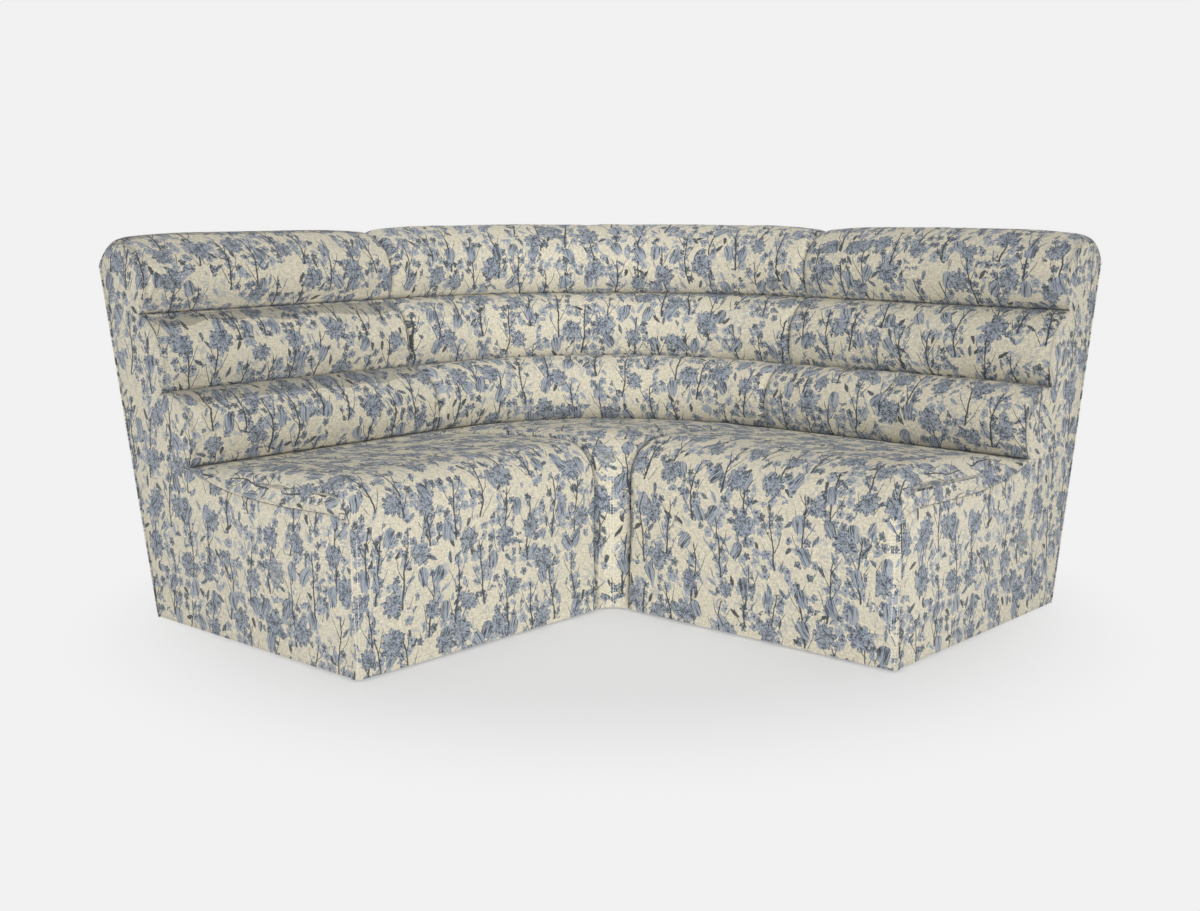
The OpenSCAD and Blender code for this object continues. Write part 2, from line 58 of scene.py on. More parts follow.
CLEAR = 0.0004  # clearance between pieces that lie close
JOINT_CLEAR = 0.0003  # room that a panel leaves at a joint
PAD_DEPTH, PANEL_DEPTH = 0.0102, 0.0103  # depths of the pads' faces and of the end panels under the covers
PAINTED_SHADE_REACH = 0.007  # reach of the painted shade that darkens the cloth beside a seam or crease
SPACING, PAD_SPACING = 0.016, 0.03  # spacing of the stations of the covers and of the pads
CROWN = 0.0065  # most by which the middle of a roll stands out
REAR_HELD = 8  # rows at a seat's rear that are half held while it swells
JOINT_HELD, JOINT_HALF = 0.012, 0.030  # distances from a joint at which the corner's seat is held, half held
NEAR_CREASE = np.array([0.003, 0.009])  # distances of the first rows from a crease
NEXT_ROW = 0.019  # distance of the row after them
CONNECTORS = ((0.180, 0.100), (0.620, 0.100))  # places of the connectors on a joint, as (depth, height)
STRAP_FRONT, STRAP_REAR = 0.028, 0.060  # room before the first cross strap and behind the last
STRAP_END = 0.0105  # where the long straps start, behind the seat's front
BACKDROP = 0.885  # brightness of the backdrop
CUT_STEP = 0.93  # way along the cloth from where one module's cover is cut to the next
STITCH_START = 0.012  # height of the first topstitch
STITCH_ROWS, STITCH_GAP = (0.0030, 0.0120), 0.0084  # rows' distances from a far end; gap of the corner's two


# Sizes and colours

def size(label, text, default):
    """A length that a maker may change, in metres."""
    return FloatProperty(name=label, description=text, default=default, unit="LENGTH", precision=4)


def tint(label, text, default):
    """A colour that a maker may change."""
    return FloatVectorProperty(name=label, description=text, default=default, subtype="COLOR", min=0, max=1)


def wing_reach():
    """Length of a straight module, taken from the frame."""
    low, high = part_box("right_seat_cover")
    return high.x - low.x


class SofaShape(bpy.types.PropertyGroup):
    """Sizes of the modules, as the frame has them."""

    wing_length: size("Wing length", "Length of each straight module", wing_reach())
    module_gap: size("Module gap", "Gap between neighbouring modules", 0.0006)
    tip_radius: size("Tip radius", "Radius of the corner module's front tip", 0.049)
    base_height: size("Base height", "Height of the covers' hem above the floor", 0.005)
    base_depth: size("Base depth", "Depth of the base behind the seat's rear edge", 0.182)
    back_lean: FloatProperty(name="Back lean", description="Angle by which the outside back leans outward",
                             default=math.radians(12.35), subtype="ANGLE")
    seat_height: size("Seat height", "Height of the seat's front roll", 0.455)
    seat_radius: size("Seat roll", "Radius of the seat's front roll", 0.105)
    seat_depth: size("Seat depth", "Depth from the seat's front to the back", 0.623)
    seat_rear: size("Seat rear", "Height of the seat where it meets the back", 0.417)
    seat_crown: size("Seat crown", "Rise of the seat above a straight line", 0.006)
    low_crease: size("Low crease", "Height of the crease over the lower roll", 0.5886)
    high_crease: size("High crease", "Height of the crease over the middle roll", 0.784)
    shoulder: size("Shoulder", "Height of the top roll's front shoulder", 0.955)
    back_edge: size("Back edge", "Height of the outside back's upper edge", 0.893)
    upright_top: size("Upright top", "Height of the back frame", 0.88)
    deck: size("Deck", "Height of the seat frame's deck", 0.31)


class SofaUpholstery(bpy.types.PropertyGroup):
    """Sizes of the fabric, the padding and the stitching."""

    cover: size("Cover", "Thickness of the fabric with its fibre wrap", 0.0092)
    end_cover: size("End panel", "Thickness of a padded end panel", 0.016)
    crease_pull: size("Crease pull", "Depth by which the channels are pulled in behind the rolls", 0.010)
    swell: size("Swell", "Most that the filling may push the cover out", 0.006)
    softness: size("Softness", "Height of the soft unevenness of the covers", 0.0011)
    edge_round: size("Edge round", "Rounding of the end panels' edges", 0.0028)
    stitch: size("Stitch", "Length of one topstitch", 0.0075)
    thread: size("Thread", "Thickness of the topstitching thread", 0.0022)
    strap: size("Strap", "Thickness of the seat webbing", 0.0016)
    strap_width: size("Strap width", "Width of the seat webbing", 0.05)
    straps: IntProperty(name="Straps", description="Front to back straps on a straight module", default=5)
    cross_straps: IntProperty(name="Cross straps", description="Side to side straps on a module", default=3)
    pressure: FloatProperty(name="Filling pressure", description="Pressure that swells the covers",
                            default=4.0)


class SofaColours(bpy.types.PropertyGroup):
    """Colours of the finishes."""

    linen: tint("Linen", "Ground of the printed linen", (0.715, 0.672, 0.535))
    linen_warm: tint("Warm linen", "Warmer threads in the linen's ground", (0.690, 0.590, 0.455))
    bloom: tint("Bloom", "Middle blue of the print", (0.168, 0.210, 0.290))
    bloom_grey: tint("Grey bloom", "Greener blue that the print wanders to", (0.172, 0.222, 0.262))
    shade: tint("Shade", "Dark slate of the print", (0.050, 0.052, 0.054))
    wash: tint("Wash", "Pale blue wash of the print", (0.400, 0.432, 0.485))
    thread: tint("Thread", "Topstitching thread", (0.80, 0.76, 0.64))
    foam: tint("Foam", "Foam pads", (0.80, 0.72, 0.45))
    lining: tint("Lining", "Cloth under the base", (0.034, 0.034, 0.037))
    webbing: tint("Webbing", "Seat webbing", (0.035, 0.034, 0.034))
    birch: tint("Birch", "Plywood faces", (0.60, 0.40, 0.21))
    zinc: tint("Zinc", "Connector plates and screws", (0.62, 0.64, 0.66))
    nylon: tint("Nylon", "Glides", (0.018, 0.018, 0.019))
    floor: tint("Floor", "Floor and backdrop", (0.95, 0.95, 0.95))


# Outlines, as points (depth behind the seat's front plane, height)

def drop(distance, length, amount):
    """Drop of a rounded end at a distance from the end face."""
    return amount * (1 - np.sqrt(1 - np.clip(1 - distance / length, 0, 1) ** 2))


def sewn(distance, turn, dip, reach):
    """Drop of a padded face at a distance from its border: a rounded edge and a dip that reaches inward."""
    return drop(distance, turn, turn) + dip * np.exp(-distance / reach)


def spread(near, margin, count, start=0.0, end=1.0):
    """Places from start to end: some at near distances from both, the others even between margins."""
    return np.concatenate([start + near, np.linspace(start + margin, end - margin, count), end - near[::-1]])


def arc(p, q, bulge, shares):
    """Points of an arc from p to q that bulges to the left of the way, at shares of its length."""
    p, q = np.array(p, float), np.array(q, float)
    chord = np.linalg.norm(q - p)
    along = (q - p) / chord
    side = np.array([-along[1], along[0]])
    radius = (chord * chord / 4 + bulge * bulge) / (2 * bulge)
    centre = (p + q) / 2 + side * (bulge - radius)
    angle = math.asin(min(1.0, chord / 2 / radius)) * (2 * np.asarray(shares) - 1)
    return centre + radius * (np.outer(np.cos(angle), side) + np.outer(np.sin(angle), along))


def ease(p, p_way, q, q_way, count):
    """A smooth way from p to q with the given directions, without its end points."""
    t = np.linspace(0, 1, count + 2)[1:-1, None]
    reach = np.linalg.norm(np.subtract(q, p))
    return ((2 * t ** 3 - 3 * t ** 2 + 1) * p + (t ** 3 - 2 * t ** 2 + t) * reach * p_way
            + (3 * t ** 2 - 2 * t ** 3) * q + (t ** 3 - t ** 2) * reach * q_way)


def unit(v):
    """A way of length 1."""
    return np.asarray(v, float) / np.linalg.norm(v)


class Outline:
    """The side outline of a module and of the layers inside it.

    insets are those of the rolls, of the seat's front and of its top. Layer 0 is the outer face of a cover,
    1 its inner face and 2 the face of the pads.
    """

    LOWER, MIDDLE, TOP, RISE = 24, 20, 12, 25  # rows of the three rolls and of the seat's front
    RUN = (0.290, 0.260, 0.211)  # lengths of the rolls' outlines
    BULGE = (0.085, 0.065, 0.052, 0.048)  # how far the four parts of the back stand out
    FOOT = (0.077, 0.003)  # the back frame's foot, behind the seat and above the deck
    LEAN_RUN = 0.164  # how far the back frame leans back up to its top
    BEFORE = (0.0432, 0.0222, 0.0477)  # how far the creases and the shoulder lie before the back frame
    UNDER_BACK = ((0.633, 0.4155), (0.648, 0.4145), (0.663, 0.4138))  # the seat cover's rows under the back

    def __init__(self, shape, upholstery):
        self.s, self.up = shape, upholstery
        self.lean = math.tan(shape.back_lean)
        self.ways = []
        for k in (1, 2):
            here = self.crease(k, 0)
            before = self.roll(k - 1, 0, 0, [0.98])[0] - here
            after = self.roll(k, 0, 0, [0.02])[0] - here
            way = -unit(unit(before) + unit(after))
            self.ways.append((way, np.array([way[1], -way[0]])))

    def outside(self, z):
        """Depth of the outside back at a height."""
        return self.s.seat_depth + self.s.base_depth + z * self.lean

    def upright(self, z):
        """Depth of the face of the back frame at a height."""
        low = self.s.deck + self.FOOT[1]
        return self.s.seat_depth + self.FOOT[0] + self.LEAN_RUN * (z - low) / (self.s.upright_top - low)

    def on_upright(self, z, clear=0.0):
        """A point on the back frame's face, or a clearance before it."""
        return np.array([self.upright(z) - clear, z])

    def crease(self, k, depth):
        """Crease 0 is under the lower roll, 1 over it and 2 over the middle roll."""
        s = self.s
        z = (s.seat_rear, s.low_crease, s.high_crease)[k]
        d = self.upright(z) - self.BEFORE[k - 1] if k else s.seat_depth
        return np.array([d + depth, z])

    def edge(self, depth):
        """The upper edge of the outside back."""
        return np.array([self.outside(self.s.back_edge) - depth, self.s.back_edge])

    def roll(self, k, inset, depth, shares):
        """One part of the back: 0 the lower roll, 1 the middle, 2 the top roll's front, 3 its top."""
        bulge = self.BULGE[k]
        if k < 2:
            return arc(self.crease(k, depth), self.crease(k + 1, depth), bulge - inset, shares)
        fall = (inset + depth) * math.sin(math.pi / 4)
        z = self.s.shoulder
        shoulder = np.array([self.upright(z) - self.BEFORE[2] + fall, z - fall])
        if k == 2:
            return arc(self.crease(2, depth), shoulder, bulge - inset, shares)
        return arc(shoulder, self.edge(depth), bulge - (inset / 2 if inset > 0 else 1.4 * inset), shares)

    def notch(self, k, side, across, along):
        """A point in the channel at crease k: across towards the roll below (-1) or above (1)."""
        way, below = self.ways[k - 1]
        return self.crease(k, 0) + way * along - side * below * across

    def top(self, inset, depth):
        """The top roll from its crease to the outside back's edge, with its front eased into its top."""
        run = self.RUN[2]
        shares = np.concatenate([NEAR_CREASE / run, np.linspace(NEXT_ROW / run, 0.84, self.TOP)])
        front = self.roll(2, inset, depth, shares)
        top = self.roll(3, inset, depth, np.concatenate([np.linspace(0.2, 0.93, self.TOP), [0.965, 0.985]]))
        join = ease(front[-1], unit(front[-1] - front[-2]), top[0], unit(top[1] - top[0]), 6)
        return np.concatenate([front, join, top])

    def back(self, insets, depth, layer):
        """Rows of the back, from the tuck over its three rolls to the outside back."""
        across, along = ((0.0, 0.0), (0.005, 0.005), (0.0062, 0.008))[layer]
        rolls = [self.roll(k, insets[0], depth, spread(NEAR_CREASE / run, NEXT_ROW / run, count))
                 for k, run, count in zip((0, 1), self.RUN, (self.LOWER, self.MIDDLE))]
        rolls.append(self.top(insets[0], depth))
        if layer:
            start = [[0.0012, 0.0016], [0.0004, 0.0018]]
            end = [[-0.0001, 0.0022], [-0.0001, 0.0016], [-0.0001, 0.0010]]
        else:
            start = [[0.0090, 0.0006], [0.0045, 0.0008]]
            end = [[-0.0006, 0.0022], [-0.0030, 0.0006], [-0.0085, 0.0006]]
        rows = [self.crease(0, depth) + start, rolls[0]]
        for k in (1, 2):
            if layer:
                below, above = rolls[k - 1], rolls[k]
                below[-1], above[0] = self.notch(k, -1, across, 0.002), self.notch(k, 1, across, 0.002)
                below[-2], above[1] = (below[-3] + below[-1]) / 2, (above[2] + above[0]) / 2
            deepest = self.notch(k, 1, 0, self.up.crease_pull + along) + [0.0 if layer else depth, 0.0]
            rows += [[deepest], rolls[k]]
        return np.concatenate(rows + [self.edge(depth) + end])

    def back_rows(self):
        """Row numbers of the two creases."""
        low = 2 + self.LOWER + 4
        return low, low + 1 + self.MIDDLE + 4

    def seat_front(self, front, top, depth):
        """The seat's front roll."""
        s, r = self.s, self.s.seat_radius
        angle = np.linspace(0, math.pi / 2, 14)
        return np.stack([r - (r - front - depth) * np.cos(angle),
                         s.seat_height - r + (r - top - depth) * np.sin(angle)], 1)

    def seat_top(self, top, depth, shares):
        """The seat's top, at shares of the way from its front roll to the back."""
        s, t = self.s, np.asarray(shares)
        height = s.seat_height + (s.seat_rear - s.seat_height) * t + s.seat_crown * np.sin(math.pi * t)
        return np.stack([s.seat_radius + (s.seat_depth - s.seat_radius) * t,
                         height - top * (1 - t ** 3) - depth], 1)

    def seat(self, insets, depth, layer):
        """Rows of the seat's cover from its hem, up the front and over the top into the tuck."""
        s, (_, front, top) = self.s, insets
        base, near, rise_end = s.base_height, front + depth, s.seat_height - s.seat_radius - 0.013
        if layer:
            hem = [[near - 0.0005, base + 0.0015], [near, base + 0.0030], [near, base + 0.0060]]
        else:
            hem = [[near + 0.0080, base + 0.0003], [near + 0.0016, base], [near, base + 0.0020]]
        rise = [[near, z] for z in np.linspace(base + 0.009, rise_end, self.RISE)]
        tuck = np.array(self.UNDER_BACK) - [0, depth]
        shares = np.concatenate([np.linspace(0, 1, 37)[1:-1], [0.994]])
        return np.concatenate([hem, rise, self.seat_front(front, top, depth),
                               self.seat_top(top, depth, shares), tuck])

    def ladder(self, insets, depth):
        """The closed outline of an end panel as two rails with equal counts of points."""
        s, (_, front, top) = self.s, insets
        base, under_edge = s.base_height, s.back_edge - 0.10
        rise = [[front + depth, z] for z in np.linspace(base, s.seat_height - s.seat_radius, 24)]
        seat = np.concatenate([rise, self.seat_front(front, top, depth)[1:],
                               self.seat_top(top, depth, np.linspace(0, 1, 36)[1:-1])])
        back = np.delete(self.back(insets, depth, 0), [0, 1, *self.back_rows()], 0)[:-3]
        first = np.concatenate([seat, back, [self.edge(depth)]])
        corner = [self.outside(base) - depth, base]
        foot = np.linspace([front + depth + 0.16, base], corner, len(seat) + 1)
        rear = np.linspace(corner, [self.outside(under_edge) - depth, under_edge], len(first) - len(seat))[1:]
        return first, np.concatenate([foot, rear])


# Stations along a module, and the place of an outline point

def rounded(length, steps):
    """Distances from an end face, close together at the face."""
    return length * (1 - np.sin(np.linspace(math.pi / 2, 0, steps + 1)))


def merged(*rows):
    """Sorted distances of several rows, without near doubles."""
    values = np.sort(np.concatenate(rows))
    keep = [values[0]]
    for v in values[1:]:
        if v - keep[-1] > 0.0009:
            keep.append(v)
    return np.array(keep)


# Rows that turn a cover in at its end faces, as (distance inward, depth)
TUCK = ((0.0002, 0.0040), (0.0006, 0.0080), (0.0022, 0.0095), (0.0095, 0.0098))

INNER_TUCK, INNER_STEP = 0.0124, 0.0003  # distance of the inner face's first such row and its step back

# Lengths of the rounded ends of the seat, the rolls and the front, and the front seam's distance
SEAT_END, BACK_END, FRONT_END, FRONT_SEAM = 0.070, 0.030, 0.016, 0.055
ROLL_DROP, SEAT_DROP = 0.028, 0.022  # drops of the rolls and of the seat at a joint
FAR_DROPS = (0.014, 0.008, 0.072)  # drops of the rolls, the front and the seat's top at a far end
CROWN_REACH = 0.22  # distance from an end at which a roll's crown is full
SEAM_SINK, SEAM_SIDE = 0.0016, 0.0018  # sink of the front seam and distance of the rows beside it


class Module:
    """Where the stations of one module are. A station is (place, from its joint, from its far end, depth)."""

    def __init__(self, name, outline, crown):
        self.name, self.outline, self.s, self.crown = name, outline, outline.s, crown
        shape = outline.s
        self.reach = shape.tip_radius + shape.seat_depth + shape.base_depth + shape.back_edge * outline.lean
        self.axis = (self.reach - shape.wing_length - shape.module_gap) / 2
        self.round = name == "corner"
        self.length = self.reach * math.pi / 2 if self.round else shape.wing_length
        self.body = f"{name}_module"
        self.number = MODULES.index(name)

    def place(self, along, outline):
        """Row-frame points of an outline at a distance along the module."""
        d, z = np.asarray(outline, float).T
        s, a = self.s, self.axis
        r = s.tip_radius + d
        if self.name == "right":
            x, y = a + s.module_gap + along + 0 * d, -a + r
        elif self.name == "left":
            x, y = a - r, -a - s.module_gap - along + 0 * d
        else:
            along, shift = along if isinstance(along, tuple) else (along, 0.0)
            angle = along / self.reach
            far = angle > math.pi / 4
            x = a - r * math.cos(angle) - (shift if far else 0.0)
            y = -a + r * math.sin(angle) + (0.0 if far else shift)
        return np.stack([x, y, z], 1)

    def insets(self, near, far):
        """Insets of the rolls, the seat's front and its top at distances from the joint and the far end."""
        end = min(near, far)
        crown = self.crown * (1 - (1 - min(end / CROWN_REACH, 1)) ** 2)
        if self.round:
            seat = drop(end, BACK_END, SEAT_DROP)
            return drop(end, BACK_END, ROLL_DROP) - crown, seat, seat
        seam = SEAM_SINK if abs(far - FRONT_SEAM) < SEAM_SIDE / 4 else 0.0
        roll_drop, front_drop, seat_drop = FAR_DROPS
        return (drop(near, BACK_END, ROLL_DROP) + drop(far, BACK_END, roll_drop) - crown,
                drop(near, FRONT_END, SEAT_DROP) + drop(far, FRONT_END, front_drop) + seam,
                drop(near, BACK_END, SEAT_DROP) + drop(far, SEAT_END, seat_drop))

    def distances(self, seat, spacing):
        """Distances of the stations from the joint, close together near both ends."""
        joint = merged(rounded(BACK_END, 6), rounded(FRONT_END, 4)) if seat else rounded(BACK_END, 6)
        far = rounded(BACK_END, 6)
        if seat and not self.round:
            far = merged(rounded(SEAT_END, 9), rounded(FRONT_END, 4))
            far = far[abs(far - FRONT_SEAM) > 0.003]
            far = np.sort(np.concatenate([far, FRONT_SEAM + np.array([-SEAM_SIDE, 0, SEAM_SIDE])]))
        length = self.length
        count = int((length - joint[-1] - far[-1]) / spacing)
        middle = np.linspace(joint[-1], length - far[-1], count)[1:-1]
        return np.concatenate([joint, middle, length - far[::-1]])

    def at(self, distance, far_side, shift):
        """Place of a tuck row that lies inside an end face."""
        if self.round:
            return (distance, shift)
        return distance - shift if far_side else distance + shift

    def behind_panel(self, u, margin):
        """Place of a station of the pads, which end at planes behind the end panels."""
        if not self.round:
            return u
        along = (u - margin) * self.length / (self.length - 2 * margin)
        return (along, margin * (1 - 2 * min(along, self.length - along) / self.length))

    def from_joints(self, grid):
        """Distances of the corner's points from its two joint planes."""
        return np.minimum(grid[..., 1] + self.axis, self.axis - grid[..., 0])

    def turn(self, grid):
        """Angles of the corner's points round its centre, from its middle."""
        return np.arctan2(grid[..., 1] + self.axis, self.axis - grid[..., 0]) - math.pi / 4

    def stations(self, seat):
        """Stations of the outer face and of the inner face of a cover."""
        length, cover = self.length, self.outline.up.cover
        rows = self.distances(seat, SPACING)
        outer = [(u, u, length - u, 0.0) for u in rows]
        inner = [(u, u, length - u, cover) for u in map(self.squeeze, rows)]
        for far_side in (False, True):
            face = length if far_side else 0.0
            turn = [(self.at(face, far_side, e), face, length - face, depth) for e, depth in TUCK]
            back = []
            for i in range(len(TUCK)):
                e = INNER_TUCK - INNER_STEP * i
                u = face - e if far_side else e
                back.append((self.at(face, far_side, e), u, length - u, cover + 0.0001 * i))
            outer = outer + turn if far_side else turn[::-1] + outer
            inner = inner + back if far_side else back[::-1] + inner
        return outer, inner

    def squeeze(self, u):
        """Distance of the inner face's station, which stays clear of the end panels."""
        margin, span = 0.0125, 0.030
        if u < span:
            return margin + u * (span - margin) / span
        if u > self.length - span:
            return self.length - margin - (self.length - u) * (span - margin) / span
        return u

    def inward(self, far_side):
        """The way into the module from one of its end faces."""
        along_x = far_side if self.round else self.name == "right"
        sign = -1.0 if (self.name == "left") != far_side else 1.0
        return np.array([sign, 0, 0] if along_x else [0, sign, 0])

    def grid(self, stations, rows, layer):
        """Points of an outline's rows at all stations."""
        return np.array([self.place(u, rows(self.insets(near, far), depth, layer))
                         for u, near, far, depth in stations])


def modules(context, crown=CROWN):
    """The three modules, with the outline that they share."""
    outline = Outline(context.scene.sofa_shape, context.scene.sofa_upholstery)
    return [Module(name, outline, crown) for name in MODULES]


# Meshes

def refine(grid, axis):
    """One step of smooth subdivision of a point grid along an axis; the borders stay."""
    a = np.moveaxis(grid, axis, 0)
    out = np.empty((2 * len(a) - 1,) + a.shape[1:])
    out[1::2] = (a[:-1] + a[1:]) / 2
    out[0], out[-1] = a[0], a[-1]
    out[2:-2:2] = (a[:-2] + 6 * a[1:-1] + a[2:]) / 8
    return np.moveaxis(out, 0, axis)


def finer(grid):
    """One step of smooth subdivision both ways."""
    return refine(refine(grid, 0), 1)


def grid_normals(grid):
    """Unit normals of a point grid."""
    along = np.gradient(grid, axis=0)
    up = np.gradient(grid, axis=1)
    n = np.cross(along, up)
    return n / np.maximum(np.linalg.norm(n, axis=2, keepdims=True), 1e-12)


def quads(ns, nr):
    """Faces of a grid of ns stations by nr rows."""
    i, j = np.meshgrid(np.arange(ns - 1), np.arange(nr - 1), indexing="ij")
    a = (i * nr + j).ravel()
    return np.stack([a, a + nr, a + nr + 1, a + 1], 1)


def make_mesh(name, points, faces, maps=None, smooth=50):
    """A mesh object from points and faces, with its cloth map given for each face corner."""
    mesh = bpy.data.meshes.new(name)
    mesh.from_pydata(np.asarray(points).tolist(), [], [list(map(int, f)) for f in faces])
    if maps is not None:
        layer = mesh.uv_layers.new(name="cloth")
        layer.data.foreach_set("uv", np.asarray(maps, np.float32).ravel())
    mesh.polygons.foreach_set("use_smooth", [True] * len(mesh.polygons))
    mesh.set_sharp_from_angle(angle=math.radians(smooth))
    obj = bpy.data.objects.new(name, mesh)
    bpy.context.scene.collection.objects.link(obj)
    return obj


def seam_shade(grid, ends, rows, far=1.0):
    """Painted shade in the grooves: how near each point is to the end stations, the far one by a share, or a
    seam row.
    """
    across, up = rows_length(grid, 0), rows_length(grid, 1)
    shades = [np.exp(-abs(across - across[ends]) / PAINTED_SHADE_REACH),
              np.exp(-abs(across - across[-1 - ends]) / PAINTED_SHADE_REACH) * far]
    return np.maximum.reduce(shades + [np.exp(-abs(up - up[:, [row]]) / PAINTED_SHADE_REACH) for row in rows])


def shell(name, outer, inner, chart=None, patches=(), smooth=50, seams=None):
    """A closed piece between an outer and an inner point grid.

    chart gives the cloth coordinates of the outer grid; patches are (first row, last row, first station,
    another chart) for parts of it.
    """
    ns, nr = outer.shape[:2]
    count = ns * nr
    points = np.concatenate([outer.reshape(-1, 3), inner.reshape(-1, 3)])
    front = quads(ns, nr)
    ring = np.concatenate([
        np.arange(nr - 1),
        (nr - 1) + nr * np.arange(ns - 1),
        (ns - 1) * nr + np.arange(nr - 1, 0, -1),
        nr * np.arange(ns - 1, 0, -1)])
    after = np.roll(ring, -1)
    rim = np.stack([ring, after, after + count, ring + count], 1)
    faces = np.concatenate([front, front[:, ::-1] + count, rim])
    a, b, c = outer[:-1, :-1], outer[1:, :-1], outer[:-1, 1:]
    if np.sum(np.cross(b - a, c - a) * (outer - inner)[:-1, :-1]) < 0:
        faces = faces[:, ::-1]
    maps = None
    if chart is not None:
        corner = faces % count
        row, station = np.median(corner % nr, axis=1), np.median(corner // nr, axis=1)
        maps = chart.reshape(-1, 2)[corner]
        for first, last, near, patch in patches:
            inside = (row >= first) & (row <= last) & (station >= near)
            maps[inside] = patch.reshape(-1, 2)[corner[inside]]
    obj = make_mesh(name, points, faces, maps, smooth)
    # seams is painted shade: how much each outer point's cloth is darkened beside seams and creases, kept as
    # the point attribute "seam"
    if seams is not None:
        shade = obj.data.attributes.new("seam", "FLOAT", "POINT")
        shade.data.foreach_set("value", np.concatenate([seams.ravel(), np.ones(count)]).astype(np.float32))
    return obj


def tube(rings, points, faces):
    """Adds a closed tube through rings of points to the lists of a mesh."""
    start, count = len(points), len(rings[0])
    points += [tuple(p) for ring in rings for p in ring]
    end = start + count * (len(rings) - 1)
    for i in range(start, end, count):
        for k in range(count):
            a, b = i + k, i + (k + 1) % count
            faces.append((a, b, b + count, a + count))
    faces.append(tuple(range(start + count - 1, start - 1, -1)))
    faces.append(tuple(range(end, end + count)))


def rows_length(grid, axis):
    """Distances along an axis of a point grid or line, from its start."""
    step = np.linalg.norm(np.diff(grid, axis=axis), axis=-1)
    start = np.zeros_like(np.take(step, [0], axis))
    return np.concatenate([start, np.cumsum(step, axis)], axis)


def cloth_map(outer, start):
    """Cloth coordinates of a straight module's cover: along the row, and up over the outline."""
    across = rows_length(outer, 0)
    across -= across[len(across) // 2]
    up = np.median(rows_length(outer, 1), axis=0)
    return np.stack([across + start[0], np.broadcast_to(up, across.shape) + start[1]], 2)


def swell(outer, held, upholstery):
    """Lets the filling push a cover out between its seams: a cloth simulation with the seams pinned."""
    frames, (ns, nr) = 20, outer.shape[:2]
    mesh = bpy.data.meshes.new("swell")
    mesh.from_pydata(outer.reshape(-1, 3).tolist(), [], quads(ns, nr).tolist())
    obj = bpy.data.objects.new("swell", mesh)
    scene = bpy.context.scene
    scene.collection.objects.link(obj)
    group = obj.vertex_groups.new(name="held")
    for value in np.unique(held):
        group.add(np.flatnonzero(held.ravel() == value).tolist(), float(value), "REPLACE")
    cloth = obj.modifiers.new("swell", "CLOTH")
    cloth.point_cache.frame_start, cloth.point_cache.frame_end = 1, frames
    setting = cloth.settings
    setting.quality = 4
    setting.mass = 0.4
    setting.tension_stiffness = setting.compression_stiffness = 18
    setting.shear_stiffness = 6
    setting.bending_stiffness = 2
    setting.air_damping = 4
    setting.effector_weights.gravity = 0
    setting.use_pressure = True
    setting.uniform_pressure_force = upholstery.pressure
    setting.vertex_group_mass = "held"
    setting.pin_stiffness = 0.6
    setting.shrink_min = -0.006
    cloth.collision_settings.use_collision = False
    for number in range(frames):
        scene.frame_set(1 + number)
    shaped = obj.evaluated_get(bpy.context.evaluated_depsgraph_get())
    moved = np.empty(ns * nr * 3)
    shaped.data.vertices.foreach_get("co", moved)
    moved = moved.reshape(outer.shape) - outer
    bpy.data.objects.remove(obj)
    bpy.data.meshes.remove(mesh)
    scene.frame_set(1)
    if not np.all(np.isfinite(moved)):
        raise RuntimeError("the filling of a cover didn't settle")
    far = np.linalg.norm(moved, axis=2, keepdims=True)
    moved *= np.minimum(1, upholstery.swell / np.maximum(far, 1e-9)) * (held[..., None] < 0.99)
    return outer + moved


def uneven(outer, inner, held, upholstery, seed):
    """Soft unevenness of a stuffed cover, strongest away from its seams."""
    out = outer.copy()
    normal = grid_normals(outer)
    if np.sum(normal * (outer - inner)) < 0:
        normal = -normal
    free = 1 - np.minimum(1, held)
    for i, j in np.argwhere(free > 0):
        p = Vector(outer[i, j]) + Vector((seed, 2.3 * seed, 0))
        soft = noise.noise(p * 9) + 0.45 * noise.noise(p * 23)
        out[i, j] += normal[i, j] * upholstery.softness * soft * free[i, j]
    return out


def held_weights(ns, nr, seams):
    """Pinning of a cover's points: 1 on its borders and seams, less beside them, a little elsewhere."""
    rows = np.arange(nr)[None, :]
    stations = np.arange(ns)[:, None]
    away = np.minimum.reduce([np.abs(rows - seam % nr) + 0 * stations for seam in seams])
    away = np.minimum(away, np.minimum(stations, ns - 1 - stations))
    return np.where(away <= 1, 1.0, np.where(away <= 3, 0.5, 0.06))


def stuffed(module, seat, seams, seed):
    """Point grids of a cover: its plain outer face, its inner face, and its outer face as it is stuffed."""
    outline, upholstery = module.outline, module.outline.up
    rows = outline.seat if seat else outline.back
    outer, inner = [module.grid(stations, rows, layer)
                    for layer, stations in enumerate(module.stations(seat))]
    held = held_weights(*outer.shape[:2], seams)
    if seat:
        held[:, -REAR_HELD:] = np.maximum(held[:, -REAR_HELD:], 0.5)
    if seat and module.round:
        gap = module.from_joints(outer)
        held = np.maximum(held, np.where(gap < JOINT_HELD, 1.0, np.where(gap < JOINT_HALF, 0.5, 0.0)))
    full = uneven(swell(outer, held, upholstery), inner, held, upholstery, seed)
    return outer, inner, finer(full)


# Shader maths

def put(tree, socket, value):
    """Links a value to a socket, or sets the socket to it."""
    source = getattr(value, "socket", value)
    if isinstance(source, bpy.types.NodeSocket):
        tree.links.new(source, socket)
    elif socket.type == "RGBA" and len(source) == 3:
        socket.default_value = (*source, 1)
    else:
        socket.default_value = source


def work_out(tree, operation, *values):
    """A Math node on values."""
    node = tree.nodes.new("ShaderNodeMath")
    node.operation = operation
    for socket, value in zip(node.inputs, values):
        put(tree, socket, value)
    return Value(tree, node.outputs[0])


def method(operation, swapped=False):
    """A method of Value that adds a Math node; swapped, the value comes second."""
    def add_node(self, *others):
        return work_out(self.tree, operation, *((*others, self) if swapped else (self, *others)))
    return add_node


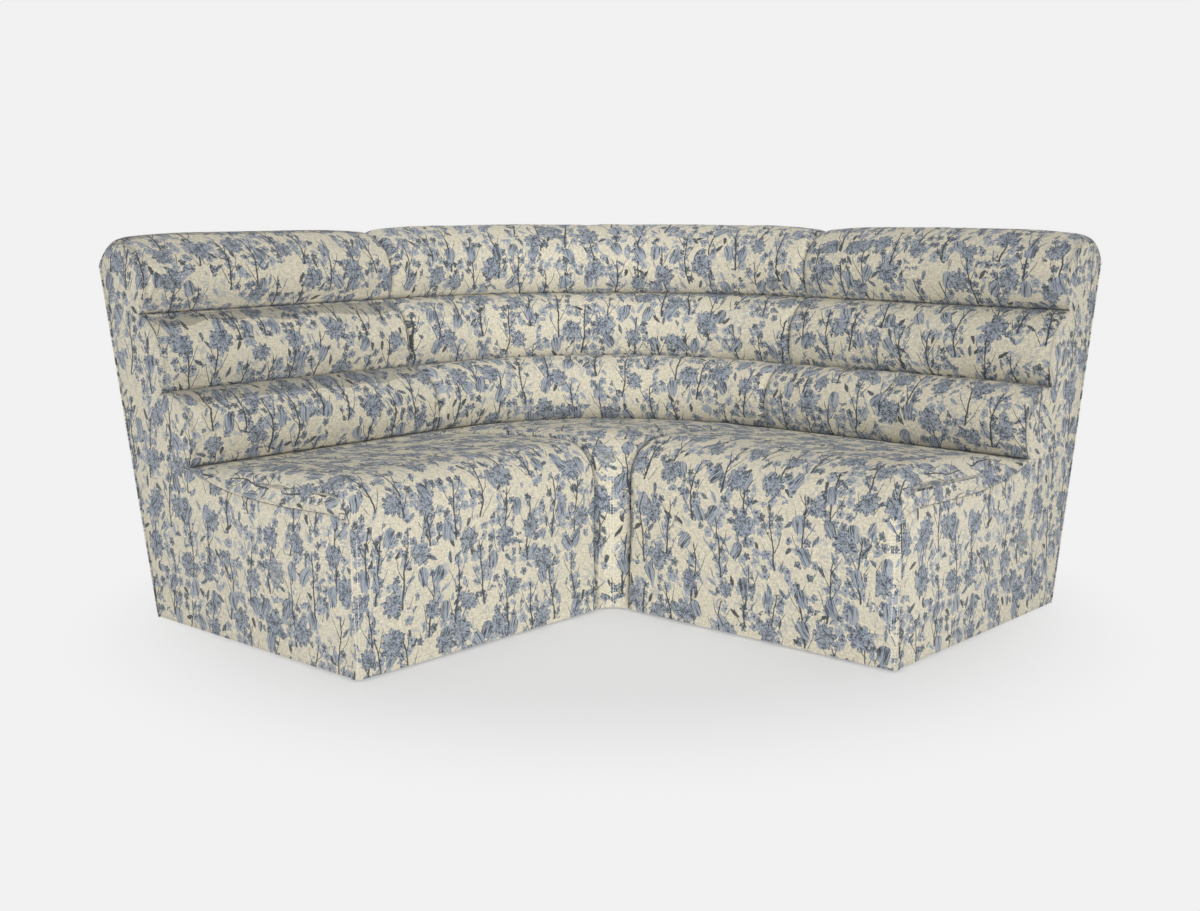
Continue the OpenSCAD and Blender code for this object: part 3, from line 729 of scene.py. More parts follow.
class Value:
    """A shader socket on which sums are written as Python expressions."""

    __add__ = __radd__ = method("ADD")
    __sub__, __rsub__ = method("SUBTRACT"), method("SUBTRACT", True)
    __mul__ = __rmul__ = method("MULTIPLY")
    __truediv__, __pow__, angle_to = method("DIVIDE"), method("POWER"), method("ARCTAN2")
    least, most = method("MINIMUM"), method("MAXIMUM")
    part, whole, size, root = method("FRACT"), method("FLOOR"), method("ABSOLUTE"), method("SQRT")
    sine, cosine = method("SINE"), method("COSINE")

    def __init__(self, tree, socket):
        self.tree, self.socket = tree, socket

    def rise(self, low, high):
        """0 below low, 1 above high, smooth between; the other way round where low is the higher."""
        node = self.tree.nodes.new("ShaderNodeMapRange")
        node.interpolation_type = "SMOOTHSTEP"
        put(self.tree, node.inputs["Value"], self)
        put(self.tree, node.inputs["From Min"], low)
        put(self.tree, node.inputs["From Max"], high)
        return Value(self.tree, node.outputs["Result"])


class Finish:
    """The nodes of one finish."""

    def __init__(self, name, **constants):
        self.material = bpy.data.materials.new(name)
        self.material.use_nodes = True
        self.tree = self.material.node_tree
        self.shader = self.tree.nodes["Principled BSDF"]
        for socket, value in constants.items():
            put(self.tree, self.shader.inputs[socket.replace("_", " ")], value)

    def node(self, kind, settings=None, sockets=None):
        """A node of any type: its settings first, then the values or links of its sockets."""
        node = self.tree.nodes.new(kind)
        for key, value in (settings or {}).items():
            setattr(node, key, value)
        for key, value in (sockets or {}).items():
            put(self.tree, node.inputs[key], value)
        return node

    def value(self, socket):
        """A socket as a value to work with."""
        return Value(self.tree, socket)

    def split(self, vector):
        """The three parts of a vector."""
        node = self.node("ShaderNodeSeparateXYZ", None, {0: vector})
        return [self.value(socket) for socket in node.outputs]

    def point(self, x, y, z=0.0):
        """A vector from its three parts."""
        return self.node("ShaderNodeCombineXYZ", None, {0: x, 1: y, 2: z}).outputs[0]

    def noise(self, where, scale=1.0, detail=2.0, roughness=0.5):
        """Soft noise from 0 to 1 at a point."""
        node = self.node("ShaderNodeTexNoise", {"noise_dimensions": "3D"},
                         {"Vector": where, "Scale": scale, "Detail": detail, "Roughness": roughness})
        return self.value(node.outputs["Fac"])

    def mix(self, factor, first, second):
        """A colour between two, by a factor."""
        node = self.node("ShaderNodeMix", {"data_type": "RGBA"}, {0: factor, 6: first, 7: second})
        return node.outputs[2]

    def shaded(self, colour, by):
        """A colour made lighter or darker by a value."""
        return self.node("ShaderNodeVectorMath", {"operation": "SCALE"}, {0: colour, "Scale": by}).outputs[0]

    def done(self, colour, roughness, height, strength, distance):
        """Feeds the shader with a colour, a roughness and a bump, and gives the material."""
        sockets = {"Strength": strength, "Distance": distance, "Height": height}
        bump = self.node("ShaderNodeBump", None, sockets).outputs[0]
        for name, value in (("Base Color", colour), ("Roughness", roughness), ("Normal", bump)):
            put(self.tree, self.shader.inputs[name], value)
        return self.material

    def object_point(self):
        """The point in the piece's own frame."""
        return self.node("ShaderNodeTexCoord").outputs["Object"]

    def cloth_point(self):
        """The point on the laid-out cloth."""
        return self.node("ShaderNodeUVMap", {"uv_map": "cloth"}).outputs[0]


class Cells:
    """Scattered places of a print's motifs, with the way from each place and its chance numbers."""

    def __init__(self, finish, x, y, pitch, scatter, stretch=1.0):
        f = finish
        where = f.point(x / pitch, y / (pitch * stretch))
        node = f.node("ShaderNodeTexVoronoi", {"voronoi_dimensions": "2D", "feature": "F1"},
                      {"Vector": where, "Scale": 1.0, "Randomness": scatter})
        px, py, _ = f.split(node.outputs["Position"])
        self.x = x - px * pitch
        self.y = y - py * (pitch * stretch)
        self.chance = [f.value(socket) for socket in
                       f.node("ShaderNodeSeparateColor", None, {0: node.outputs["Color"]}).outputs]

    def turned(self, angle):
        """The way from the place, turned by an angle."""
        c, s = angle.cosine(), angle.sine()
        return self.x * c + self.y * s, self.y * c - self.x * s


def printed_linen(colours):
    """Cream linen with a scattered blue print of loose blooms, bells, florets, leaves and branching stems."""
    f = Finish("printed_linen", Specular_IOR_Level=0.2, Sheen_Weight=0.15, Sheen_Roughness=0.5)
    x0, y0, _ = f.split(f.cloth_point())
    drift = f.noise(f.point(x0, y0), 26) - 0.5
    drift_2 = f.noise(f.point(y0, x0, 4.0), 30) - 0.5
    fray = f.noise(f.point(x0, y0, 2.0), 150, 3, 0.65) - 0.5
    x, y = x0 + drift * 0.012 + fray * 0.004, y0 + drift_2 * 0.012 - fray * 0.004
    brush = f.noise(f.point(x0 * 330, y0 * 120))
    ink = (f.noise(f.point(x0, y0, 5.0), 190, 3, 0.62) - 0.5) * 5.2
    pool = (f.noise(f.point(x0, y0, 8.0), 42) - 0.5) * 3.0

    # Stems: wavy lines in columns, broken into lengths, with side branches that rise from them
    column = 0.082
    place = x / column + y * 0.31
    seed = ((place.whole() * 12.9898).sine() * 43.7).part()
    lean = (y * 19.0 + seed * 6.0).sine() * 0.008 + (y * 47.0 + seed * 17.0).sine() * 0.0025
    sx = (place.part() - 0.5) * column + lean
    length = (y / 0.215 + seed * 3.7).part()
    lives = length.rise(0.02, 0.04) * length.rise(0.80, 0.74)
    thick = 0.0011 + (1 - length) * 0.0014
    stem = sx.size().rise(thick + 0.0005, thick) * lives
    reach = sx.size()
    climb = (y - reach * 1.25 - reach * reach * 18.0) / 0.066 + seed * 5.0 + sx.rise(-0.0001, 0.0001) * 0.45
    twig = ((climb.part() - 0.5).size() * 0.066).rise(0.0028, 0.0016) * reach.rise(0.034, 0.028) * lives
    stalk = stem.most(twig * 0.92)

    def petals(cells, radius, count, depth, spin):
        """A rosette: how far a point is within its edge, how far out, and its angle."""
        away = (cells.x * cells.x + cells.y * cells.y).root()
        angle = cells.y.angle_to(cells.x) + spin
        edge = radius * (1 - depth + (angle * (count / 2)).cosine().size() * depth) + fray * 0.006
        return edge - away, away / radius, angle

    # Large loose blooms, ragged at the edge and folded within
    big = Cells(f, x, y, 0.118, 0.62)
    bloom, out, angle = petals(big, 0.024 + big.chance[1] * 0.014, 9.0, 0.30, big.chance[0] * 6.28)
    strokes = f.noise(f.point(angle.cosine() * 3.4, angle.sine() * 3.4, out * 1.6), 1.7, 3, 0.7) - 0.5
    fold = (out * 2.8 + strokes * 1.5).part().rise(0.72, 0.98) + out.rise(0.26, 0.08) * 0.8
    bloom_tone = strokes * 9.0 + pool * 0.8 + ink * 0.8 - fold - bloom.rise(0.0030, 0.0008) * 0.9 + 0.45
    bloom = bloom.rise(-0.0004, 0.0009) * big.chance[2].rise(0.30, 0.31)

    # Bells that hang or stand, drawn with upright strokes
    bell = Cells(f, x + 0.031, y + 0.017, 0.078, 0.75, 1.2)
    bx, by = bell.turned((bell.chance[0] - 0.5) * 1.3)
    rim = 0.0155 * (1 - (by / 0.027) ** 2.0).most(0.0).root() * (1 + by * 9.0) - bx.size() + fray * 0.005
    lobes = by + 0.024 - (bx * 380.0).cosine().size() * 0.006
    cup = rim.rise(-0.0003, 0.0007) * lobes.rise(0.0, 0.0012) * bell.chance[1].rise(0.44, 0.45)
    bell_tone = (f.noise(f.point(bx * 300, by * 26, bell.chance[2] * 9.0)) - 0.5) * 9.0 + pool * 0.6 \
        - rim.rise(0.0024, 0.0006) * 0.9 + 0.4

    # Florets in clusters, mostly along the stems
    small = Cells(f, x, y, 0.0265, 0.70)
    gather = f.noise(f.point(x, y * 0.75, 7.0), 15, 1) + reach.rise(0.036, 0.004) * 0.13 * lives
    floret, small_out, _ = petals(small, 0.0118 + small.chance[1] * 0.0034, 5.0, 0.38, small.chance[0] * 6.28)
    small_tone = (small.chance[1] - 0.35) * 1.6 + ink * 1.4 - small_out.rise(0.34, 0.12) * 1.2 \
        - floret.rise(0.0017, 0.0004) * 0.9 + 0.25
    floret = floret.rise(-0.0004, 0.0009) * (gather + (small.chance[2] - 0.5) * 0.12).rise(0.527, 0.535)

    # Leaves: slim dabs, dark or washed out
    leaf = Cells(f, x + 0.011, y, 0.036, 0.9)
    lx, ly = leaf.turned((leaf.chance[0] - 0.5) * 2.4)
    blade = 0.0056 * (1 - (ly / 0.0175) ** 2.0).most(0.0) - lx.size() + fray * 0.004
    blade = blade.rise(-0.0002, 0.0006) * leaf.chance[1].rise(0.60, 0.61)
    leaf_tone = (leaf.chance[2] - 0.5) * 2.4 + ink * 0.8 - lx.size().rise(0.0011, 0.0004) * 0.8

    # Faint washed sprigs behind all else
    far = Cells(f, x - 0.02, y + 0.04, 0.050, 0.9)
    fx, fy = far.turned(far.chance[0] * 6.28)
    spray = ((0.026 - (fx * fx + fy * fy).root()) / 0.026).rise(0.0, 0.3) * far.chance[2].rise(0.4, 0.41)
    faint = f.noise(f.point(fx * 130, fy * 50, far.chance[1] * 7.0)).rise(0.52, 0.60) * spray * 0.6

    blue = f.mix(f.noise(f.point(x0, y0, 11.0), 22).rise(0.40, 0.62), colours.bloom, colours.bloom_grey)

    def dyed(tone):
        """The print's blue: towards slate below nought, towards the pale wash above."""
        dark = f.mix(tone.rise(-0.15, -0.65) * 0.95, blue, colours.shade)
        return f.mix(tone.rise(0.15, 0.60) * 0.95, dark, colours.wash)

    slub = f.noise(f.point(x0 * 260, y0 * 75), 1.0, 3, 0.7) * 0.5 \
        + f.noise(f.point(x0 * 75, y0 * 260, 3.0), 1.0, 3, 0.7) * 0.5
    warm = f.noise(f.point(x0 * 110, y0 * 110, 9.0)).rise(0.50, 0.64) * 0.45
    ground = f.shaded(f.mix(warm, colours.linen, colours.linen_warm), 0.22 + slub * 1.56)
    hold = (0.72 + brush * 0.45).least(0.97)
    colour = f.mix(faint * hold, ground, colours.wash)
    for mask, tone in ((blade, leaf_tone), (floret, small_tone), (stalk, (brush - 0.5) * 2.0 - 1.0),
                       (cup, bell_tone), (bloom, bloom_tone)):
        colour = f.mix(mask * hold, colour, dyed(tone))
    # Painted shade: the cloth is darkened by up to 36 % by the point attribute "seam", in the grooves beside
    # seams and creases where shade falls
    seam = f.value(f.node("ShaderNodeAttribute", {"attribute_name": "seam"}).outputs["Fac"])
    pitch = 2 * math.pi / 0.0013
    weave = (x0 * pitch).sine() * (y0 * pitch).sine()
    return f.done(f.shaded(colour, (0.75 + slub * 0.50) * (1 - seam * 0.36)), 0.80 + slub * 0.14,
                  weave * 0.35 + slub * 1.2, 0.6, 0.0008)


def stitch_thread(colours):
    """Plain linen thread for topstitching."""
    f = Finish("stitch_thread", Sheen_Weight=0.2)
    twist = f.noise(f.object_point(), 1800, 1)
    return f.done(f.shaded(colours.thread, 0.82 + twist * 0.3), 0.6, twist, 0.4, 0.0002)


def open_foam(colours):
    """Open-cell foam with fine pores and a cut skin."""
    f = Finish("open_foam", Specular_IOR_Level=0.15)
    where = f.object_point()
    pores = f.value(f.node("ShaderNodeTexVoronoi", None, {"Vector": where, "Scale": 520}).outputs["Distance"])
    age = f.noise(where, 5, 3)
    return f.done(f.shaded(colours.foam, 0.78 + pores * 0.28 + age * 0.12), 0.88 + pores * 0.10,
                  pores, 0.6, 0.0008)


def spunbond_lining(colours):
    """Thin non-woven cloth with its field of pressed dots."""
    f = Finish("spunbond_lining", Specular_IOR_Level=0.2, Sheen_Weight=0.1)
    where = f.object_point()
    x, y, _ = f.split(where)
    dots = ((x * 2500).sine() * (y * 2500).sine()).rise(0.55, 0.8)
    fibres = f.noise(where, 900, 3, 0.7)
    return f.done(f.shaded(colours.lining, 0.6 + fibres * 0.9 - dots * 0.25), 0.94 - dots * 0.3,
                  fibres - dots, 0.5, 0.0003)


def webbing_strap(colours):
    """Woven elastic strap: fine herringbone ribs and two paler stripes."""
    f = Finish("webbing_strap", Sheen_Weight=0.15)
    u, v, _ = f.split(f.cloth_point())
    rib = (((u / 0.004).part() - 0.5).size() * 2.0 + v / 0.0016).part()
    stripe = ((u.size() - 0.016).size()).rise(0.0022, 0.0016)
    edge = u.size().rise(0.0225, 0.0235)
    tone = 0.75 + rib * 0.6 + stripe * 2.2 - edge * 0.25
    return f.done(f.shaded(colours.webbing, tone), 0.84 - rib * 0.16, rib, 0.5, 0.0006)


def birch_ply(colours, name, thick, grain, centre=None):
    """Birch plywood: long grain on its faces and thin plies on its edges.

    thick is the way through the sheet and grain the way along it; centre is the axis of a bent sheet.
    """
    f = Finish(name, Specular_IOR_Level=0.35)
    where = f.object_point()
    x, y, z = f.split(where)
    turned = f.node("ShaderNodeVectorTransform", {"vector_type": "NORMAL", "convert_from": "WORLD",
                                                  "convert_to": "OBJECT"},
                    {0: f.node("ShaderNodeNewGeometry").outputs["Normal"]})
    normal = f.split(turned.outputs[0])
    if centre:
        rx, ry = x - centre[0], y - centre[1]
        away = (rx * rx + ry * ry).root()
        through, facing = away, ((normal[0] * rx + normal[1] * ry) / away).size()
        along, across = ry.angle_to(rx) * centre[2], z
    else:
        through = x * thick[0] + y * thick[1] + z * thick[2]
        facing = (normal[0] * thick[0] + normal[1] * thick[1] + normal[2] * thick[2]).size()
        side = np.cross(thick, grain)
        along = x * grain[0] + y * grain[1] + z * grain[2]
        across = x * float(side[0]) + y * float(side[1]) + z * float(side[2])
    wave = f.noise(f.point(along * 2.2, across * 9.0, through * 3.0), 1.0, 3)
    fibre = f.noise(f.point(along * 26, across * 700, through * 40), 1.0, 3, 0.6)
    figure = ((across * 60.0 + wave * 9.0).sine() * 0.5 + 0.5) ** 2.0
    face = 0.86 + fibre * 0.22 - figure * 0.13
    plies = ((through / 0.0028).part() - 0.5).size() * 2.0
    dust = f.noise(f.point(along * 300, across * 300, through * 900))
    edge = 0.58 + plies.rise(0.35, 0.6) * 0.38 + dust * 0.16
    is_face = facing.rise(0.6, 0.8)
    return f.done(f.shaded(colours.birch, face * is_face + edge * (1 - is_face)),
                  0.68 - figure * 0.10 + fibre * 0.08,
                  fibre * is_face + plies * (1 - is_face), 0.35, 0.0004)


def zinc_plate(colours):
    """Zinc-plated steel with fine rolling lines and dull patches."""
    f = Finish("zinc_plate", Metallic=1.0)
    where = f.object_point()
    x, y, z = f.split(where)
    lines = f.noise(f.point(x * 60, y * 60, z * 2600))
    patch = f.noise(where, 60, 3, 0.6)
    return f.done(f.shaded(colours.zinc, 0.82 + patch * 0.26), 0.24 + patch * 0.20 + lines * 0.10,
                  lines, 0.15, 0.0002)


def moulded_nylon(colours):
    """Black nylon with a fine moulded grain, rubbed smoother in places."""
    f = Finish("moulded_nylon", Specular_IOR_Level=0.45)
    where = f.object_point()
    grain = f.noise(where, 2600)
    rub = f.noise(where, 130)
    return f.done(f.shaded(colours.nylon, 0.8 + rub * 0.7), 0.36 + grain * 0.18 + rub * 0.12,
                  grain, 0.3, 0.0003)


# Operators

def finish_of(maker):
    """A finish that is made once, under its maker's name, and used again."""
    return bpy.data.materials.get(maker.__name__) or maker(bpy.context.scene.sofa_colours)


def dress(obj, finish, module, slot, *nodes):
    """Gives a piece its finish and its body and hides the frame's nodes that it stands for; slot is not used.
    """
    obj.data.materials.clear()
    obj.data.materials.append(finish_of(finish))
    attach(obj, module.body)
    if nodes:
        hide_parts(*(f"{module.name}_{node}" for node in nodes))


class SOFA_OT_stage(bpy.types.Operator):
    """Sets the camera, the floor, the lamps and the world"""
    bl_idname = "sofa.stage"
    bl_label = "Stage"

    def execute(self, context):
        scene = context.scene
        scene.view_settings.view_transform = "Standard"
        camera = bpy.data.objects.new("camera", bpy.data.cameras.new("camera"))
        scene.collection.objects.link(camera)
        camera.data.lens, camera.data.sensor_width = 45.688, 36.0
        camera.data.clip_end = 100
        pitch, turn = math.radians(9.591), math.radians(41.695)
        look = Vector((-math.sin(turn) * math.cos(pitch), math.cos(turn) * math.cos(pitch), -math.sin(pitch)))
        aimed = look.to_track_quat("-Z", "Y").to_matrix().to_4x4()
        camera.matrix_world = Matrix.Translation((2.6512, -3.0133, 1.070)) @ aimed
        scene.camera = camera
        self.floor(scene.sofa_colours)
        self.world(scene)
        self.lamp("front", "SPOT", (4.5, -4.0, 1.3), (-0.38, 0.22, 0.60), energy=1280,
                  spot_size=math.radians(31.5), spot_blend=1.0, shadow_soft_size=1.6)
        self.lamp("centre", "SPOT", (4.5, -4.1, 1.2), (-0.52, 0.46, 0.44), energy=1290,
                  spot_size=math.radians(16), spot_blend=1.0, shadow_soft_size=1.2)
        self.lamp("over", "SUN", (0.10, -0.10, 1.0), (0, 0, 0), energy=0.58, angle=math.radians(60))
        self.lamp("back", "SUN", (-0.70, 0.70, 0.75), (0, 0, 0), energy=0.38, angle=math.radians(50))
        return {"FINISHED"}

    def lamp(self, name, kind, place, aim, **settings):
        """A broad soft lamp that shines from a place towards its aim."""
        data = bpy.data.lights.new(name, kind)
        for key, value in settings.items():
            setattr(data, key, value)
        lamp = bpy.data.objects.new(name, data)
        bpy.context.scene.collection.objects.link(lamp)
        lamp.visible_camera = False
        way = Vector(place) - Vector(aim)
        lamp.matrix_world = Matrix.Translation(place) @ way.to_track_quat("Z", "Y").to_matrix().to_4x4()

    def floor(self, colours):
        """A wide round floor whose glow grows away from the sofa, into the backdrop."""
        spokes, radii, z = 96, (0.5, 1.5, 2.5, 4, 7, 12, 25, 60), -CLEAR
        ways = [(math.cos(math.tau * i / spokes), math.sin(math.tau * i / spokes)) for i in range(spokes)]
        points, faces = [(0, 0, z)] + [(radius * c, radius * s, z) for radius in radii for c, s in ways], []
        for i in range(spokes):
            faces.append((0, 1 + i, 1 + (i + 1) % spokes))
            for ring in range(0, spokes * (len(radii) - 1), spokes):
                a, b = 1 + ring + i, 1 + ring + (i + 1) % spokes
                faces.append((a, a + spokes, b + spokes, b))
        floor = make_mesh("floor", points, faces)
        f = Finish("pale_floor", Roughness=0.9, Specular_IOR_Level=0.1)
        x, y, _ = f.split(f.object_point())
        away = (x * x + y * y).root()
        mottle = f.noise(f.object_point(), 3)
        put(f.tree, f.shader.inputs["Base Color"], f.shaded(colours.floor, 0.995 + mottle * 0.01))
        glow = f.node("ShaderNodeEmission", None, {"Color": (BACKDROP,) * 3, "Strength": 1.0})
        blend = f.node("ShaderNodeMixShader", None,
                       {0: 0.4 + away.rise(0.75, 1.45) * 0.6, 1: f.shader.outputs[0], 2: glow.outputs[0]})
        put(f.tree, f.tree.nodes["Material Output"].inputs["Surface"], blend.outputs[0])
        floor.data.materials.append(f.material)

    def world(self, scene):
        """A pale backdrop as the camera sees it, and a softer light for all else."""
        world = bpy.data.worlds.new("studio")
        world.use_nodes = True
        scene.world = world
        tree = world.node_tree
        tree.nodes.clear()
        path, mix, out = [tree.nodes.new(kind) for kind in
                          ("ShaderNodeLightPath", "ShaderNodeMixShader", "ShaderNodeOutputWorld")]
        sight = work_out(tree, "MAXIMUM", path.outputs["Is Camera Ray"], path.outputs["Is Glossy Ray"])
        put(tree, mix.inputs[0], sight.most(path.outputs["Is Transmission Ray"]))
        for socket, (shade, strength) in zip(list(mix.inputs)[1:], ((1, 0.35), (BACKDROP, 1.0))):
            light = tree.nodes.new("ShaderNodeBackground")
            put(tree, light.inputs["Color"], (shade, shade, shade))
            put(tree, light.inputs["Strength"], strength)
            put(tree, socket, light.outputs[0])
        put(tree, out.inputs["Surface"], mix.outputs[0])


class SOFA_OT_seat_covers(bpy.types.Operator):
    """Makes the seat covers, from the hem up the front roll and over the seat into the tuck"""
    bl_idname = "sofa.seat_covers"
    bl_label = "Seat covers"

    def execute(self, context):
        for module in modules(context):
            outer, inner, fine = stuffed(module, True, (0, 1, 2, -4, -3, -2, -1), 3.1 * module.number)
            if module.round:
                chart, patches = self.fan(module, fine), []
            else:
                chart = cloth_map(finer(outer), (0.11 + CUT_STEP * module.number, 0.0))
                far = np.array([station[2] for station in module.stations(True)[0]])
                seam = int(np.argmin(abs(far - FRONT_SEAM)))
                patches = [(0, 2 * (3 + Outline.RISE), 2 * seam, chart + [0.137, 0.083])]
            # Painted shade in the grooves at the joint and under the back, weaker at a straight module's far
            # end
            shade = seam_shade(fine, 2 * len(TUCK), (-7,), 1.0 if module.round else 0.25)
            obj = shell(f"{module.name}_seat_upholstery", fine, finer(inner), chart, patches, seams=shade)
            dress(obj, printed_linen, module, "upholstery", "seat_cover")
        return {"FINISHED"}

    def fan(self, module, grid):
        """Cloth coordinates of the corner's seat, cut in one piece and laid flat."""
        r, turn = np.hypot(grid[..., 0] - module.axis, grid[..., 1] + module.axis), module.turn(grid)
        up = np.median(rows_length(grid, 1), axis=0)[None, :]
        fall = rows_length(grid, 0) - rows_length(grid * [1, 1, 0], 0)
        fall -= fall[len(fall) // 2]
        return np.stack([-r * np.sin(turn) - fall + 2.37, up - (r - r * np.cos(turn))], 2)


class SOFA_OT_back_covers(bpy.types.Operator):
    """Makes the channelled covers of the inside back, with their three rolls"""
    bl_idname = "sofa.back_covers"
    bl_label = "Back covers"

    def execute(self, context):
        for module in modules(context):
            low, high = module.outline.back_rows()
            outer, inner, fine = stuffed(module, False, (0, 1, low, high, -2, -1), 7.7 + 3.1 * module.number)
            if module.round:
                chart, middle, top = self.charts(module, fine)
                patches = [(2 * low, 2 * high, 0, middle), (2 * high, math.inf, 0, top)]
            else:
                chart, patches = cloth_map(finer(outer), (0.40 + CUT_STEP * module.number, 1.13)), []
            # Painted shade in the grooves at both ends, along the two creases and near the bottom and top
            # rows
            shade = seam_shade(fine, 2 * len(TUCK), (2, 2 * low, 2 * high, -5))
            obj = shell(f"{module.name}_back_upholstery", fine, finer(inner), chart, patches, seams=shade)
            dress(obj, printed_linen, module, "upholstery", "back_cover")
        return {"FINISHED"}

    def charts(self, module, grid):
        """Cloth coordinates of the corner's back, where each roll is cut on its own."""
        turn = module.turn(grid)
        up = np.median(rows_length(grid, 1), axis=0)[None, :] + 0 * turn
        return [np.stack([turn * radius + x + 3.1, up + y + 1.1], 2)
                for radius, x, y in ((0.70, 0.1, 0.31), (0.80, 0.47, 0.05), (0.92, 0.83, 0.62))]


class SOFA_OT_pads(bpy.types.Operator):
    """Makes the foam pads of the seats and of the back rolls"""
    bl_idname = "sofa.pads"
    bl_label = "Foam pads"

    def execute(self, context):
        for module in modules(context, crown=0.0):
            outline, s = module.outline, module.s
            margin = outline.up.end_cover + CLEAR
            rows = module.distances(True, PAD_SPACING)
            rows = rows[(rows > margin * 1.05) & (rows < module.length - margin * 1.05)]
            rows = np.concatenate([[margin], rows, [module.length - margin]])
            stations = [(module.behind_panel(u, margin), u, module.length - u, PAD_DEPTH) for u in rows]
            face = module.grid(stations, outline.back, 2)
            low, high = outline.back_rows()
            for roll, first, last, bottom, top in (
                    ("lower", 0, low + 1, s.seat_rear + CLEAR, s.low_crease - CLEAR),
                    ("middle", low, high + 1, s.low_crease + CLEAR, s.high_crease - CLEAR),
                    ("top", high, -3, s.high_crease + CLEAR, s.upright_top)):
                part = face[:, first:last]
                count = part.shape[1]
                turn = int(count * 0.45) if roll == "top" else count
                behind = np.array([outline.on_upright(z, CLEAR) for z in np.linspace(bottom, top, turn)])
                if roll == "top":
                    rear = [outline.outside(top) - PAD_DEPTH, top]
                    rear = np.linspace(outline.on_upright(top), rear, count - turn + 1)[1:]
                    behind = np.concatenate([behind, rear])
                    behind[turn - 1:, 1] += CLEAR
                back = np.array([module.place(u, behind) for u, *_ in stations])
                obj = shell(f"{module.name}_{roll}_roll_pad", refine(part, 1), refine(back, 1), smooth=35)
                dress(obj, open_foam, module, "padding", f"{roll}_roll_foam")
            self.seat(module, stations)
        return {"FINISHED"}

    def seat(self, module, stations):
        """The seat's pad, from its flat underside to its rolled front and its top."""
        outline, s = module.outline, module.s
        bottom = s.deck + 0.0064

        def face(insets, depth, layer):
            rows = outline.seat(insets, depth, layer)
            return np.concatenate([[[insets[1] + depth, bottom]], rows[rows[:, 1] > bottom + 0.01][:-3],
                                   [outline.on_upright(s.seat_rear - PAD_DEPTH, CLEAR)]])

        def under(insets, depth, layer):
            start, end = [insets[1] + depth + 0.0005, bottom], [outline.upright(bottom) - CLEAR, bottom]
            return np.linspace(start, end, outer.shape[1])

        outer = module.grid(stations, face, 2)
        obj = shell(f"{module.name}_seat_pad", outer, module.grid(stations, under, 2), smooth=35)
        dress(obj, open_foam, module, "padding", "seat_foam")


class SOFA_OT_end_panels(bpy.types.Operator):
    """Makes the padded end panels, with rounded edges sewn to the covers"""
    bl_idname = "sofa.end_panels"
    bl_label = "End panels"

    def execute(self, context):
        for module in modules(context):
            for far_side in (False, True):
                obj = self.panel(module, far_side)
                dress(obj, printed_linen, module, "upholstery", "side_covers")
        return {"FINISHED"}

    def panel(self, module, far_side):
        """One end panel; those at a joint have slots for the connectors."""
        up = module.outline.up
        jointed = module.round or not far_side
        face = module.length if far_side else 0.0
        near, margin = np.array([0, 0.0015, 0.004, 0.009, 0.018]), 0.035
        grid = []
        for p, q in zip(*module.outline.ladder(module.insets(face, module.length - face), PANEL_DEPTH)):
            width = np.linalg.norm(q - p)
            grid.append(p + np.outer(spread(near / width, margin / width, 22), q - p))
        grid = np.array(grid)
        for _ in range(2):
            rows = [grid[0] + (grid[1] - grid[0]) * share for share in (0, 0.12, 0.3, 0.6)]
            grid = np.concatenate([rows, grid[1:]])[::-1]
        away = self.distance(grid, np.concatenate([grid[:, 0], grid[-1], grid[::-1, -1], grid[0, ::-1]]))
        sink = sewn(away, up.edge_round, dip=0.0012, reach=0.03)
        if jointed:
            sink = sink + JOINT_CLEAR
        ends = module.place(face, grid.reshape(-1, 2)).reshape(*grid.shape[:2], 3)
        outer = ends + sink[..., None] * module.inward(far_side)
        inner = ends + (up.end_cover - CLEAR) * module.inward(far_side)
        mirror = 1 if (module.name == "right") != far_side else -1
        chart = grid * [mirror, 1] + [1.7 + 0.9 * module.number + 0.4 * far_side, 0.21]
        label = (("left", "right") if module.round else ("joint", "far"))[far_side]
        # Painted shade, at 0.4 of full strength, along the panel's sewn border
        obj = shell(f"{module.name}_{label}_end_panel", outer, inner, chart,
                    seams=0.4 * np.exp(-away / PAINTED_SHADE_REACH))
        if jointed:
            for place in module.place(face, CONNECTORS):
                self.slot(obj, place, module, far_side)
        return obj

    def slot(self, obj, place, module, far_side):
        """Cuts a connector's slot through a panel."""
        room = 0.0008 if module.round else 0.0
        wide, high, deep = 0.015 + room, 0.0025 + room, 0.03
        half = np.where(module.inward(far_side), deep, wide)
        half[2] = high
        points = [place + half * (i, j, k) for i in (-1, 1) for j in (-1, 1) for k in (-1, 1)]
        faces = [(0, 1, 3, 2), (4, 6, 7, 5), (0, 4, 5, 1), (2, 3, 7, 6), (0, 2, 6, 4), (1, 5, 7, 3)]
        cutter = make_mesh("cutter", points, faces)
        cut = obj.modifiers.new("slot", "BOOLEAN")
        cut.operation, cut.solver, cut.object = "DIFFERENCE", "EXACT", cutter
        with bpy.context.temp_override(object=obj, active_object=obj, selected_objects=[obj]):
            bpy.ops.object.modifier_apply(modifier=cut.name)
        bpy.data.objects.remove(cutter)

    def distance(self, grid, border):
        """Distances of a panel's points from its border."""
        points = grid.reshape(-1, 2)
        best = np.full(len(points), 9.0)
        for start, step in zip(border[:-1], np.diff(border, axis=0)):
            t = np.clip(((points - start) @ step) / max((step ** 2).sum(), 1e-14), 0, 1)
            best = np.minimum(best, np.linalg.norm(points - start - np.outer(t, step), axis=1))
        return best.reshape(grid.shape[:2])


